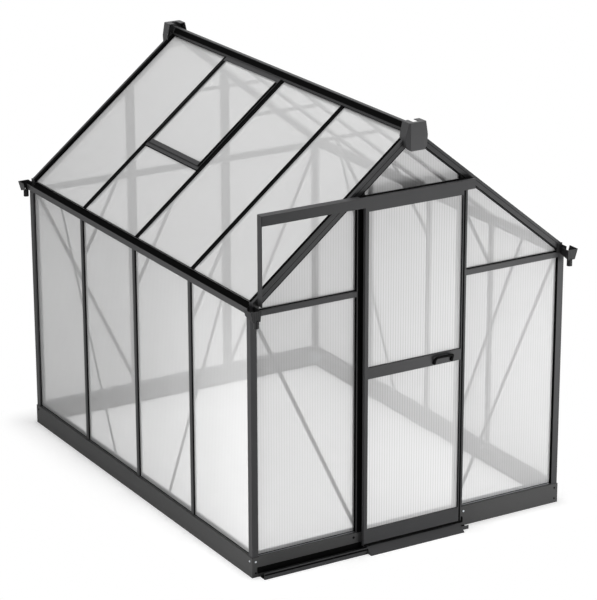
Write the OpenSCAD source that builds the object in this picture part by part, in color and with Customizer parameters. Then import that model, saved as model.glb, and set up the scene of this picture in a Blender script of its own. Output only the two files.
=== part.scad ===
// Gable greenhouse: an aluminium frame on a steel base, glazed with twin-wall sheets,
// with a sliding door in the front gable and a hinged roof vent in the left slope.
// Millimetres. X runs across the gable, Y along the ridge (the door faces -Y), Z is up
// from the ground. Pieces are drawn about the centre of the base, and placed() then moves
// them so that the origin is under the middle of the whole building, on the ground.

/* [Base] */
// Width of the base across the gable
base_w = 1890; // [1500:10:2400]
// Height of the base skirt
base_h = 108; // [80:1:160]
// Sheet thickness of the base skirt
base_t = 3; // [2:0.5:5]
// Depth of the flange on top of the base
base_flange = 55; // [50:1:80]
// Depth of the flange under the base
base_foot = 25; // [15:1:40]
// How far the base stands out past the posts at the sides
base_ledge = 3.5; // [2:0.5:20]
// How far the base stands out past the posts at the gables
base_end_ledge = 4; // [2:0.5:20]
// Leg of the angle that joins two base rails
bracket_leg = 60; // [40:5:90]
// Thickness of that angle
bracket_t = 3; // [2:0.5:5]

/* [Frame] */
// Distance between two glazing bars along the side
bay = 610; // [450:10:700]
// Side of a corner post
post = 36; // [34:1:44]
// How far the gable's face stands past the last bay
gable_reach = 26; // [20:1:40]
// Height of the wall plate's underside above the ground
plate_z = 1399; // [1100:1:1700]
// Height of the roof's outer edge above the wall plate's underside
eave_rise = 51; // [48:1:70]
// Pitch of the roof, in degrees
pitch = 39; // [25:1:45]
// Depth of the gable rafters, measured square to the roof
rafter_h = 42; // [36:1:48]
// Distance of a rafter's lower end from the side of the frame
rafter_foot = 14; // [6:1:20]
// Width of a door jamb and of a back gable post
jamb_w = 42; // [30:1:60]
// How far the bars across the gables lie below the wall plate's underside
eave_bar_drop = 11; // [0:1:30]
// Height of the bars across the gables
eave_bar_h = 29; // [24:1:40]

/* [Glazing bars] */
// Width of a bar's outer cap
cap_w = 22; // [18:1:34]
// How far the cap stands out from the sheet
cap_h = 7; // [6:1:12]
// How far the caps lie inside the faces of the posts and rafters
bar_set = 6; // [2:1:8]
// Width of the web between two sheets
web_w = 6; // [4:1:10]
// Width of a bar's inner leg
leg_w = 16; // [12:1:22]
// Depth of a bar's inner leg
leg_h = 12; // [8:1:20]

/* [Glazing] */
// Thickness of a twin-wall sheet
sheet_t = 4; // [3:0.5:6]
// Depth of the grooves that hold the sheets in the posts, rafters and bars
groove = 9; // [6:0.5:12]
// Setback of the gable sheets behind the gable's face
gable_inset = 16; // [12:1:22]
// Clearance of the sheets in their seats
fit_gap = 0.2; // [0.1:0.1:0.6]
// Distance of the roof sheets' lower edge from the eave, along the slope
sheet_foot = 23; // [16:1:26]
// Thickness of the sill's floor and outer lip
sill_t = 2; // [1.5:0.5:4]
// Height of the sill's inner leg
sill_h = 23; // [16:1:35]
// Height of the sill's outer lip
sill_lip = 4; // [3:0.5:10]
// Thickness of the sill's inner leg
sill_leg = 2; // [1:0.5:4]

/* [Gutters] */
// Width of the gutter's floor
gutter_floor = 14; // [12:1:50]
// How far the gutter's outer wall leans out
gutter_lean = 3; // [0:1:30]
// Height of the gutter's outer wall
gutter_h = 31; // [24:1:50]
// Height of the gutter's floor above the wall plate's underside
gutter_rise = 9; // [4:1:14]
// Sheet thickness of the gutter
gutter_t = 2.5; // [2:0.5:4]
// Wall thickness of a gutter outlet
outlet_t = 2.5; // [2:0.5:4]
// Length of a gutter outlet
outlet_l = 69; // [50:1:90]
// How far an outlet's front leans back towards its foot
outlet_lean = 3; // [0:1:20]
// Height of an outlet
outlet_h = 56; // [45:1:80]
// Height of an outlet's rim above the gutter's floor
outlet_rim = 34; // [33:1:50]
// How far an outlet's floor falls towards its front
outlet_fall = 20; // [5:1:30]
// How far an outlet reaches past the side of the frame
outlet_out = 38; // [26:1:60]
// How far an outlet reaches in behind the side of the frame
outlet_in = 25; // [14:1:30]
// How far an outlet's outer side leans in towards its foot
outlet_taper = 15; // [6:1:20]
// Outside diameter of an outlet's spout
spout_d = 29; // [20:1:34]
// Length of an outlet's spout
spout_l = 34; // [15:1:60]
// Height of the tongue that holds an outlet, above its rim
tongue_h = 25; // [12:1:40]
// Distance of that tongue from the side of the frame
tongue_in = 14; // [12:1:20]

/* [Ridge] */
// Half the width of the ridge rail's brim
ridge_half = 24; // [20:1:45]
// Half the width of the ridge rail under its brim
ridge_body = 15; // [13:1:19]
// Half the width of the ridge's flat top
ridge_top_half = 10; // [6:1:20]
// Height of the ridge's top above the rafters' meeting line
ridge_rise = 17; // [12:1:45]
// Height of the ridge's chamfers
ridge_chamfer = 30; // [8:1:34]
// Half the width of an end cap at its waist
end_cap_half = 66; // [56:1:90]
// Half the width of an end cap at its foot
end_cap_foot = 39; // [34:1:48]
// Half the width of an end cap at its lower corners
end_cap_hip = 61; // [50:1:64]
// Half the width of an end cap at its top
end_cap_head = 50; // [46:1:54]
// Half the width of an end cap's front face
end_cap_face = 41; // [30:1:46]
// Height of an end cap
end_cap_h = 144; // [110:1:160]
// Height of an end cap's top above the ridge's top
end_cap_over = 21; // [14:1:30]
// Height of an end cap's waist above its foot
end_cap_waist = 73; // [50:1:90]
// Height of an end cap's lower corners above its foot
end_cap_rise = 17; // [8:1:30]
// How far an end cap stands out from the gable
end_cap_depth = 35; // [28:1:60]
// Depth of an end cap's bevels
end_cap_bevel = 11; // [6:1:16]
// How far an end cap reaches back over the roof
end_cap_back = 31; // [20:1:34]
// Wall thickness of an end cap
end_cap_t = 3.5; // [2:0.5:5]
// Half the width of the notch in an end cap's top
notch_half = 17; // [12:1:24]
// How far that notch reaches out past the gable
notch_out = 16; // [8:1:20]

/* [Bracing] */
// Width of a flat brace
brace_w = 20; // [14:1:26]
// Thickness of a flat brace
brace_t = 3; // [2:0.5:4]
// Distance of a gable brace's foot from the doorway's edge
brace_edge = 16; // [12:1:30]
// Height of a knee brace's foot above the wall plate's underside, downwards
knee_drop = 219; // [120:1:320]
// Distance of a knee brace's head from the ridge line
knee_head = 690; // [500:10:780]
// Distance of the collar ties below the rafters' meeting line
collar_drop = 195; // [150:1:260]

/* [Doorway] */
// Clear width of the doorway
door_clear = 574; // [480:2:700]
// Height of the door header's underside above the ground
header_z = 1855; // [1650:5:2000]
// Height of the door header
header_h = 45; // [36:1:80]

/* [Door] */
// Width of the door leaf
door_w = 600; // [510:2:710]
// Height of the door leaf's bottom above the ground
door_z = 35; // [30:1:45]
// Thickness of the door leaf
door_t = 20; // [16:1:26]
// Width of a door stile
stile_w = 20; // [16:1:40]
// Height of the door's bottom rail
kick_h = 90; // [60:5:140]
// Height of the door's middle rail
mid_h = 60; // [40:5:90]
// Height of the middle rail's underside above the ground
mid_z = 950; // [800:10:1100]
// Height of the door's top rail
top_h = 37; // [30:1:60]
// Gap between the door leaf and the base behind it
door_gap = 8; // [6:1:14]

/* [Door gear] */
// Height of the door rail's face
rail_h = 52; // [46:1:70]
// Sheet thickness of the door rail
rail_t = 3; // [2:0.5:4]
// Distance of the door rail's free end from the side of the frame
rail_inset = 45; // [34:1:60]
// Gap between the door leaf and the rail's face
rail_gap = 9; // [6:1:12]
// Diameter of a door wheel
wheel_d = 22; // [18:1:26]
// Thickness of a door wheel
wheel_t = 6; // [4:1:8]
// Distance of the wheels from the door's edges
wheel_inset = 75; // [40:5:120]
// Running gap between a wheel and its ledge
wheel_gap = 0.3; // [0.2:0.1:1]
// Distance of the bottom track's free end from the side of the frame
track_inset = 41; // [20:1:60]
// Depth of the bottom track in front of the base
track_w = 50; // [44:1:60]
// Height of the bottom track's lip
track_h = 20; // [14:1:22]
// Depth of the threshold ramp
ramp_w = 31; // [20:1:60]
// Length of the door handle
handle_l = 135; // [100:5:200]
// How far the handle stands out
handle_out = 26; // [20:1:40]
// Distance of the handle from the door's closing edge
handle_inset = 62; // [40:1:90]
// Width of the handle's grip
handle_w = 18; // [12:1:24]

/* [Roof vent] */
// Distance of the vent's sill from the ridge line
vent_x = 535; // [380:5:640]
// Width of the vent frame's members
vent_rail = 25; // [18:1:36]
// How far the vent frame stands above the bars
vent_proud = 4; // [0:1:10]

/* [Hidden] */

bays = 4;
frame_w = base_w - 2 * base_ledge;
frame_l = bays * bay + 2 * gable_reach;
base_l = frame_l + 2 * base_end_ledge;
hx = frame_w / 2;
hy = frame_l / 2;
eave_z = plate_z + eave_rise;
apex_z = eave_z + hx * tan(pitch);
bar_ys = [for (i = [1 : bays - 1]) (i - bays / 2) * bay];
vent_y = bar_ys[1];
jamb_in = door_clear / 2;
jamb_out = jamb_in + jamb_w;
pane_d = bar_set + cap_h;
pane_n = -pane_d;
leg_n = pane_n - sheet_t - leg_h;
gutter_z = plate_z + gutter_rise;
eave_bar_z = plate_z - eave_bar_drop;
slope_top = (hx - ridge_half) / cos(pitch);
vent_s = (hx - vent_x) / cos(pitch);
door_y = -base_l / 2 - door_gap - door_t;
rail_y = door_y - rail_gap - rail_t;
rail_top = header_z + 4 + rail_h;
door_top = header_z + 15;
rail_x0 = -hx + rail_inset;
rail_end = 16;
strut_seat = 3;
rail_x1 = jamb_out + rail_end;
ridge_web = 10;
shift_y = ((base_l / 2 + track_w + ramp_w) - (hy + outlet_l)) / 2;
big = 4000;

frame_black = [0.2, 0.2, 0.21];
plastic_grey = [0.3, 0.3, 0.31];
sheet_clear = [0.86, 0.89, 0.89, 0.45];
zinc = [0.6, 0.6, 0.62];

// Height of the roof at a distance x from the ridge line, offset n square to the slope
function roof_z(x, n = 0) = eave_z + (hx - x) * tan(pitch) + n / cos(pitch);

// Moves a piece from the base's centre to its place about the origin
module placed() {
  translate([0, shift_y, 0]) children();
}

// Mirrors a left-hand piece to the right when side is 1
module sided(side) {
  mirror([side > 0 ? 1 : 0, 0, 0]) children();
}

// Puts a front piece at the back when end is 1
module ended(end) {
  mirror([0, end > 0 ? 1 : 0, 0]) children();
}

// Left roof slope: x runs up the slope from the eave, z is the outward normal
module on_slope() {
  translate([-hx, 0, eave_z]) rotate([0, -pitch, 0]) children();
}

// Extrudes an outline drawn in X and Z along Y, from y0 to y1
module along_y(y0, y1) {
  translate([0, y1, 0]) rotate([90, 0, 0]) linear_extrude(y1 - y0) children();
}

// Extrudes an outline drawn in Y and Z along X, from x0 to x1
module along_x(x0, x1) {
  translate([x0, 0, 0]) rotate([90, 0, 90]) linear_extrude(x1 - x0) children();
}

// A box between two corners
module box(a, b) {
  translate(a) cube(b - a);
}

// ---- Base ----

// One rail of the base: a folded sheet with a flange above and a foot below,
// mitred at both ends. It is drawn as the front rail of a base with sides w and l.
module base_rail(w, l) {
  outer = -l / 2;
  m = base_flange;
  intersection() {
    along_x(-w / 2, w / 2)
      polygon([[outer, 0], [outer + base_foot, 0], [outer + base_foot, base_t],
               [outer + base_t, base_t], [outer + base_t, base_h - base_t],
               [outer + base_flange, base_h - base_t], [outer + base_flange, base_h],
               [outer, base_h]]);
    linear_extrude(base_h)
      polygon([[-w / 2, outer], [w / 2, outer], [w / 2 - m, outer + m], [m - w / 2, outer + m]]);
  }
}

module base_front() {
  color(frame_black) placed() base_rail(base_w, base_l);
}

module base_back() {
  color(frame_black) placed() rotate([0, 0, 180]) base_rail(base_w, base_l);
}

module base_left() {
  color(frame_black) placed() rotate([0, 0, -90]) base_rail(base_l, base_w);
}

module base_right() {
  color(frame_black) placed() rotate([0, 0, 90]) base_rail(base_l, base_w);
}

// Angles that join the base rails inside each corner
module base_brackets() {
  x = -base_w / 2 + base_t;
  y = -base_l / 2 + base_t;
  color(zinc) placed()
    for (side = [-1, 1], end = [-1, 1])
      sided(side) ended(end)
        translate([x, y, base_t])
          linear_extrude(base_h - 2 * base_t)
            polygon([[0, 0], [bracket_leg, 0], [bracket_leg, bracket_t],
                     [bracket_t, bracket_t], [bracket_t, bracket_leg], [0, bracket_leg]]);
}

// ---- Posts and wall bars ----

// Everything above the undersides of the gable rafters on the left
module above_rafter() {
  on_slope() box([-300, -big, -rafter_h], [big, big, big]);
}

// Section of a corner post, from its outer corner, with a groove for each sheet
module post_section() {
  side_0 = pane_d;
  side_1 = pane_d + sheet_t;
  gable_0 = gable_inset;
  gable_1 = gable_inset + sheet_t;
  inner = post - groove;
  polygon([[0, 0], [post, 0], [post, gable_0], [inner, gable_0], [inner, gable_1],
           [post, gable_1], [post, post], [side_1, post], [side_1, inner],
           [side_0, inner], [side_0, post], [0, post]]);
}

module corner_posts() {
  color(frame_black) placed()
    for (side = [-1, 1], end = [-1, 1])
      sided(side) ended(end) difference() {
        translate([-hx, -hy, base_h]) linear_extrude(eave_z - base_h) post_section();
        above_rafter();
      }
}

// Section of a glazing bar: cap outside, web between the sheets, leg inside.
// The outer face is at depth 0 and the bar reaches inwards along +X.
module bar_section() {
  d0 = cap_h;
  d1 = cap_h + sheet_t;
  d2 = d1 + leg_h;
  polygon([[0, -cap_w / 2], [d0, -cap_w / 2], [d0, -web_w / 2], [d1, -web_w / 2],
           [d1, -leg_w / 2], [d2, -leg_w / 2], [d2, leg_w / 2], [d1, leg_w / 2],
           [d1, web_w / 2], [d0, web_w / 2], [d0, cap_w / 2], [0, cap_w / 2]]);
}

module wall_bars(side) {
  color(frame_black) placed()
    for (y = bar_ys)
      sided(side) translate([-hx + bar_set, y, base_h])
        linear_extrude(plate_z - base_h) bar_section();
}

module left_wall_bars() {
  wall_bars(-1);
}

module right_wall_bars() {
  wall_bars(1);
}

// Outline of a sill: a lip outside the sheet, a floor under it and a leg inside it.
// The sheet's outer face is at depth d.
module sill_section(d) {
  reach = d + sheet_t + sill_leg;
  polygon([[d - sill_t, base_h], [reach, base_h], [reach, base_h + sill_h],
           [d + sheet_t, base_h + sill_h], [d + sheet_t, base_h + sill_t],
           [d, base_h + sill_t], [d, base_h + sill_lip], [d - sill_t, base_h + sill_lip]]);
}

// Channels on the base that hold the feet of the wall sheets, one for each sheet
module wall_sills() {
  side_stops = concat([-hy + post], bar_ys, [hy - post]);
  gable_spans = [[-hx + post, -jamb_out], [jamb_out, hx - post]];
  back_spans = concat(gable_spans, [[-jamb_in, jamb_in]]);
  color(frame_black) placed() {
    for (side = [-1, 1], i = [0 : bays - 1]) {
      y0 = side_stops[i] + (i > 0 ? cap_w / 2 : 0);
      y1 = side_stops[i + 1] - (i < bays - 1 ? cap_w / 2 : 0);
      sided(side) along_y(y0, y1) translate([-hx, 0]) sill_section(pane_d);
    }
    for (s = gable_spans)
      along_x(s[0], s[1]) translate([-hy, 0]) sill_section(gable_inset);
    for (s = back_spans)
      ended(1) along_x(s[0], s[1]) translate([-hy, 0]) sill_section(gable_inset);
  }
}

// ---- Eaves ----

// Wall plate and gutter in one rail. The plate fits between the gable rafters and
// carries the roof sheets, and the gutter runs the whole length outside it.
module gutter_rail() {
  y_in = hy - post;
  under = pane_n - sheet_t - fit_gap;
  floor_x = -hx - gutter_floor;
  lip_x = floor_x - gutter_lean;
  along_y(-y_in, y_in)
    polygon([[-hx, plate_z], [-hx + post, plate_z],
             [-hx + post, roof_z(hx - post, under)], [-hx, roof_z(hx, under)]]);
  along_y(-hy, hy)
    polygon([[-hx, gutter_z], [floor_x, gutter_z], [lip_x, gutter_z + gutter_h],
             [lip_x + gutter_t, gutter_z + gutter_h + 1],
             [floor_x + gutter_t / 2, gutter_z + gutter_t], [-hx, gutter_z + gutter_t]]);
}

module left_gutter() {
  color(frame_black) placed() sided(-1) gutter_rail();
}

module right_gutter() {
  color(frame_black) placed() sided(1) gutter_rail();
}

// Funnel of an outlet at the front left, with its sides moved inwards by g and its top
// lifted by lift
module outlet_funnel(g, lift) {
  top = gutter_z + outlet_rim;
  low = top - outlet_h + g;
  front = -hy - outlet_l + g;
  out = -hx - outlet_out + g;
  in = -hx + outlet_in - g;
  intersection() {
    along_y(front, -hy)
      polygon([[out, top + lift], [out, top], [out + outlet_taper, low],
               [in - outlet_taper / 3, low], [in, top], [in, top + lift]]);
    along_x(out, in)
      polygon([[front, top + lift], [front, top], [front + outlet_lean, low],
               [-hy, low + outlet_fall], [-hy, top + lift]]);
  }
}

// Outlets at the four ends of the gutters, each a funnel with a round spout and a
// tongue on the gable
module gutter_outlets() {
  top = gutter_z + outlet_rim;
  x = -hx + outlet_t;
  y = -hy - outlet_l + spout_d / 2;
  foot = top - outlet_h - spout_l;
  color(plastic_grey) placed()
    for (side = [-1, 1], end = [-1, 1])
      sided(side) ended(end) difference() {
        union() {
          outlet_funnel(0, 0);
          translate([x, y, foot]) cylinder(d = spout_d, h = spout_l + outlet_t, $fn = 48);
          box([-hx + tongue_in, -hy - outlet_t, top - outlet_h / 2],
              [rail_x0 + strut_seat, -hy, top + tongue_h]);
        }
        outlet_funnel(outlet_t, 1);
        translate([x, y, foot - 1])
          cylinder(d = spout_d - 2 * outlet_t, h = spout_l + outlet_fall, $fn = 48);
      }
}

// ---- Roof ----

// Left rafter of a gable, with a groove below for the gable sheets and one on its
// inner side for the roof sheets, cut upright at its foot and at the ridge line
module gable_rafter() {
  y0 = -hy;
  y1 = -hy + post;
  difference() {
    on_slope() difference() {
      box([-rafter_h, y0, -rafter_h], [hx / cos(pitch) + rafter_h, y1, 0]);
      box([-big, y0 + gable_inset, -rafter_h - 1],
          [big, y0 + gable_inset + sheet_t, -rafter_h + groove]);
      box([-big, y1 - groove, pane_n - sheet_t], [big, y1 + 1, pane_n]);
    }
    box([-hx - big, -big, 0], [-hx + rafter_foot, big, big]);
    box([-0.5, -big, 0], [big, big, big]);
  }
}

module front_rafters() {
  color(frame_black) placed() for (side = [-1, 1]) sided(side) gable_rafter();
}

module back_rafters() {
  color(frame_black) placed() for (side = [-1, 1]) sided(side) ended(1) gable_rafter();
}

// Glazing bars of one slope, from the gutter to the ridge. Their inner legs stop at
// the wall plate and short of the ridge's flange.
module roof_bars(side) {
  leg_s = post / cos(pitch) + (leg_h + pane_d) * tan(pitch);
  far = slope_top + big / 4;
  color(frame_black) placed()
    for (y = bar_ys)
      sided(side) {
        difference() {
          on_slope() translate([0, y, 0]) {
            box([sheet_foot + cap_h, -cap_w / 2, pane_n], [far, cap_w / 2, -bar_set]);
            box([sheet_foot, -web_w / 2, pane_n - sheet_t], [far, web_w / 2, pane_n]);
          }
          box([-ridge_body, -big, 0], [big, big, big]);
        }
        difference() {
          on_slope() box([leg_s, y - leg_w / 2, leg_n], [far, y + leg_w / 2, pane_n - sheet_t]);
          box([-ridge_half - fit_gap, -big, 0], [big, big, big]);
        }
      }
}

module left_roof_bars() {
  roof_bars(-1);
}

module right_roof_bars() {
  roof_bars(1);
}

// Ridge rail: a brim on the bars, a body on the sheets, a web between them and a
// flange below. Over the gable rafters only the part above them is left.
module ridge() {
  flange = ridge_half - 1;
  flange_t = 6;
  top = apex_z + ridge_rise;
  over = pane_n + fit_gap;
  under = pane_n - sheet_t - fit_gap;
  low = under - flange_t;
  brim = -bar_set + fit_gap;
  shoulder = [[ridge_top_half, top], [ridge_half, top - ridge_chamfer]];
  half = concat(shoulder,
                [[ridge_half, roof_z(ridge_half, brim)], [ridge_body, roof_z(ridge_body, brim)],
                 [ridge_body, roof_z(ridge_body, over)], [ridge_web, roof_z(ridge_web, over)],
                 [ridge_web, roof_z(ridge_web, under)], [flange, roof_z(flange, under)],
                 [flange, roof_z(flange, low)]]);
  upper = concat(shoulder, [[ridge_half, roof_z(ridge_half)]]);
  color(frame_black) placed() {
    along_y(-hy + post, hy - post)
      polygon(concat(half, [[0, roof_z(0, low)]],
                     [for (i = [len(half) - 1 : -1 : 0]) [-half[i][0], half[i][1]]]));
    along_y(-hy, hy)
      polygon(concat(upper, [[0, roof_z(0)]],
                     [for (i = [len(upper) - 1 : -1 : 0]) [-upper[i][0], upper[i][1]]]));
  }
}

// Body of a ridge end cap, with its walls moved inwards by g: an eight-sided outline
// whose sides are bevelled towards a narrow front face
module cap_body(g) {
  top = apex_z + ridge_rise + end_cap_over;
  low = top - end_cap_h;
  front = -hy - end_cap_depth + g;
  back = -hy + end_cap_back + g;
  right = [[end_cap_foot - g, low + g], [end_cap_hip - g, low + end_cap_rise],
           [end_cap_half - g, low + end_cap_waist], [end_cap_head - g, top - g]];
  intersection() {
    along_y(front, back)
      polygon(concat(right, [for (i = [len(right) - 1 : -1 : 0]) [-right[i][0], right[i][1]]]));
    translate([0, 0, low - 1]) linear_extrude(end_cap_h + 2)
      polygon([[-end_cap_face + g, front], [end_cap_face - g, front],
               [end_cap_half - g, front + end_cap_bevel], [end_cap_half - g, back],
               [-end_cap_half + g, back], [-end_cap_half + g, front + end_cap_bevel]]);
  }
}

// End cap of the ridge: a shell open towards the gable, notched over the ridge rail,
// that ends on the gable's face and just above the roof
module end_cap() {
  difference() {
    cap_body(0);
    cap_body(end_cap_t);
    box([-notch_half, -hy - notch_out, apex_z + ridge_rise], [notch_half, big, big]);
    intersection() {
      on_slope() box([-big, -hy, -big], [big, big, fit_gap]);
      sided(1) on_slope() box([-big, -hy, -big], [big, big, fit_gap]);
    }
  }
}

module front_ridge_cap() {
  color(plastic_grey) placed() end_cap();
}

module back_ridge_cap() {
  color(plastic_grey) placed() ended(1) end_cap();
}

// ---- Bracing ----

// Flat bar between two points of an X-Z plane, from y to y + brace_t
module flat_bar(a, b, y) {
  d = b - a;
  translate([a[0], y, a[1]])
    rotate([0, -atan2(d[1], d[0]), 0])
      translate([-brace_w / 2, 0, -brace_w / 2])
        cube([norm(d) + brace_w, brace_t, brace_w]);
}

// Ties across the roof between the left and right bars, high under the ridge
module collar_ties() {
  z = apex_z - collar_drop;
  end_gap = 4;
  top_z = z + brace_w / 2;
  half = hx - (top_z - eave_z - (pane_n - sheet_t) / cos(pitch)) / tan(pitch) - end_gap;
  color(frame_black) placed()
    for (y = bar_ys)
      box([-half, y + leg_w / 2, z - brace_w / 2], [half, y + leg_w / 2 + brace_t, z + brace_w / 2]);
}

// Knee braces from the wall bars up to the roof bars
module knee_braces() {
  sheet_x = -hx + pane_d + sheet_t;
  foot = [sheet_x + leg_h / 2, plate_z - knee_drop];
  head = [-knee_head, roof_z(knee_head, leg_n) + 2];
  color(frame_black) placed()
    for (side = [-1, 1], y = bar_ys)
      sided(side) difference() {
        flat_bar(foot, head, y + leg_w / 2);
        box([-big, -big, 0], [sheet_x, big, plate_z]);
        on_slope() box([0, -big, pane_n - sheet_t], [big, big, 0]);
      }
}

// Leaning flat bar from the base up to height z: x0 at the foot, x1 at the head
module lean_outline(x0, x1, z) {
  half = brace_w / 2 / cos(atan((x1 - x0) / (z - base_h)));
  polygon([[x0 - half, base_h], [x0 + half, base_h], [x1 + half, z], [x1 - half, z]]);
}

// Diagonals inside the side walls
module wall_braces() {
  x0 = -hx + pane_d + sheet_t + leg_h;
  color(frame_black) placed()
    for (side = [-1, 1], end = [-1, 1])
      sided(side) ended(end)
        along_x(x0, x0 + brace_t) lean_outline(-bay / 2, -bay * 1.5, plate_z);
}

// Diagonals inside the gables, from the corner posts down to the jambs and back posts
module gable_braces() {
  head = hx - pane_d - sheet_t - brace_w / 2 - 2;
  foot = jamb_in + brace_edge;
  color(frame_black) placed()
    for (side = [-1, 1], end = [-1, 1])
      sided(side) ended(end)
        along_y(-hy + post, -hy + post + brace_t) lean_outline(-foot, -head, eave_bar_z);
}

// ---- Gables ----

// Groove for a gable sheet, cut along X between two heights
module gable_groove(z0, z1) {
  box([-big, -hy + gable_inset, z0], [big, -hy + gable_inset + sheet_t, z1]);
}

// Upright of a gable between the base and the rafter, drawn on the left, with a
// groove on its outer side and, from height z up, one on its inner side
module gable_upright(z) {
  y0 = -hy + gable_inset;
  difference() {
    box([-jamb_out, -hy, base_h], [-jamb_in, -hy + post, apex_z]);
    above_rafter();
    box([-jamb_out - 1, y0, base_h - 1], [-jamb_out + groove, y0 + sheet_t, apex_z]);
    box([-jamb_in - groove, y0, z], [-jamb_in + 1, y0 + sheet_t, apex_z]);
  }
}

module door_jambs() {
  color(frame_black) placed()
    for (side = [-1, 1]) sided(side) gable_upright(header_z + header_h - groove);
}

module back_posts() {
  color(frame_black) placed()
    for (side = [-1, 1]) sided(side) ended(1) gable_upright(base_h - 1);
}

// Bar across a gable at the eaves, from x0 to x1, grooved above and below
module eave_bar(x0, x1) {
  difference() {
    box([x0, -hy, eave_bar_z], [x1, -hy + post, eave_bar_z + eave_bar_h]);
    gable_groove(eave_bar_z - 1, eave_bar_z + groove);
    gable_groove(eave_bar_z + eave_bar_h - groove, eave_bar_z + eave_bar_h + 1);
    above_rafter();
    sided(1) above_rafter();
  }
}

module front_eave_bars() {
  color(frame_black) placed() for (side = [-1, 1]) sided(side) eave_bar(-hx + post, -jamb_out);
}

module back_eave_bars() {
  color(frame_black) placed() ended(1) {
    for (side = [-1, 1]) sided(side) eave_bar(-hx + post, -jamb_out);
    eave_bar(-jamb_in, jamb_in);
  }
}

// Header over the doorway, between the jambs and under the rafters
module door_header() {
  color(frame_black) placed() difference() {
    box([-jamb_in, -hy, header_z], [jamb_in, -hy + post, header_z + header_h]);
    gable_groove(header_z + header_h - groove, header_z + header_h + 1);
    above_rafter();
    sided(1) above_rafter();
  }
}

// ---- Sheets ----

// Sheets of one side wall
module wall_panes(side) {
  stops = concat([-hy + post - groove], bar_ys, [hy - post + groove]);
  x0 = -hx + pane_d;
  color(sheet_clear) placed()
    for (i = [0 : bays - 1])
      sided(side)
        box([x0, stops[i] + (i > 0 ? web_w / 2 : 0), base_h + sill_t],
            [x0 + sheet_t, stops[i + 1] - (i < bays - 1 ? web_w / 2 : 0), plate_z]);
}

module left_wall_panes() {
  wall_panes(-1);
}

module right_wall_panes() {
  wall_panes(1);
}

// Depth of a gable sheet's upper edge in the rafter's groove
pane_top_n = -rafter_h + groove - fit_gap;
// Distance from the ridge line at which a gable sheet's upper edge reaches height z
function edge_x(z) = hx - (z - eave_z - pane_top_n / cos(pitch)) / tan(pitch);

// Sheet of a gable from an outline drawn in X and Z
module gable_sheet() {
  along_y(-hy + gable_inset, -hy + gable_inset + sheet_t) children();
}

// Gable sheet above height z, between two distances from the ridge line
module upper_sheet(x0, x1, z) {
  intersection() {
    gable_sheet() polygon([[-edge_x(z), z], [edge_x(z), z], [0, roof_z(0, pane_top_n)]]);
    box([x0, -big, 0], [x1, big, big]);
  }
}

// Sheets beside the doorway or the back posts, below and above the eave bar
module side_gable_sheets() {
  x_out = -hx + post - groove;
  x_in = -jamb_out + groove;
  low_top = eave_bar_z + groove;
  gable_sheet()
    polygon([[x_out, base_h + sill_t], [x_in, base_h + sill_t], [x_in, low_top], [x_out, low_top]]);
  upper_sheet(x_out, x_in, eave_bar_z + eave_bar_h - groove);
}

module front_panes() {
  x_in = jamb_in + groove - fit_gap;
  color(sheet_clear) placed() {
    for (side = [-1, 1]) sided(side) side_gable_sheets();
    upper_sheet(-x_in, x_in, header_z + header_h - groove);
  }
}

module back_panes() {
  x_in = jamb_in + groove;
  low_top = eave_bar_z + groove;
  color(sheet_clear) placed() ended(1) {
    for (side = [-1, 1]) sided(side) side_gable_sheets();
    gable_sheet()
      polygon([[-x_in, base_h + sill_t], [x_in, base_h + sill_t], [x_in, low_top], [-x_in, low_top]]);
    upper_sheet(-x_in, x_in, eave_bar_z + eave_bar_h - groove);
  }
}

// Roof sheets of one slope. The bay that holds the vent has a short sheet below it.
module roof_panes(side, vent_bay) {
  stops = concat([-hy + post - groove], bar_ys, [hy - post + groove]);
  ridge_s = (hx - ridge_web) / cos(pitch) + (pane_n - sheet_t) * tan(pitch);
  color(sheet_clear) placed()
    for (i = [0 : bays - 1]) {
      top = i == vent_bay ? vent_s - sheet_end : ridge_s;
      sided(side) on_slope()
        box([sheet_foot, stops[i] + (i > 0 ? web_w / 2 : 0), pane_n - sheet_t],
            [top, stops[i + 1] - (i < bays - 1 ? web_w / 2 : 0), pane_n]);
    }
}

module left_roof_panes() {
  roof_panes(-1, 2);
}

module right_roof_panes() {
  roof_panes(1, -1);
}

// ---- Roof vent ----

vent_y0 = vent_y + cap_w / 2;
vent_y1 = vent_y + bay - cap_w / 2;
sill_below = 13;
sheet_end = 4;
vent_foot = vent_s + 9;

// Cross bar under the vent that holds the short sheet below it
module vent_sill() {
  color(frame_black) placed() on_slope() difference() {
    box([vent_s - sill_below, vent_y0, leg_n], [vent_foot, vent_y1, -bar_set - 2]);
    box([vent_s - sill_below - 1, vent_y0 - 1, pane_n - sheet_t],
        [vent_s - sheet_end, vent_y1 + 1, pane_n]);
  }
}

// Frame of the vent between two roof bars, from the sill to the ridge
module vent_frame() {
  color(frame_black) placed() difference() {
    on_slope() difference() {
      box([vent_foot, vent_y0, pane_n], [slope_top + cap_w, vent_y1, vent_proud - bar_set]);
      box([vent_foot + vent_rail, vent_y0 + vent_rail, pane_n - 1],
          [slope_top - vent_rail, vent_y1 - vent_rail, vent_proud + 1]);
    }
    box([-ridge_half, -big, 0], [big, big, big]);
  }
}

module vent_pane() {
  color(sheet_clear) placed() on_slope()
    box([vent_foot + vent_rail, vent_y0 + vent_rail, pane_n + sheet_t],
        [slope_top - vent_rail, vent_y1 - vent_rail, pane_n + 2 * sheet_t]);
}

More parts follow.
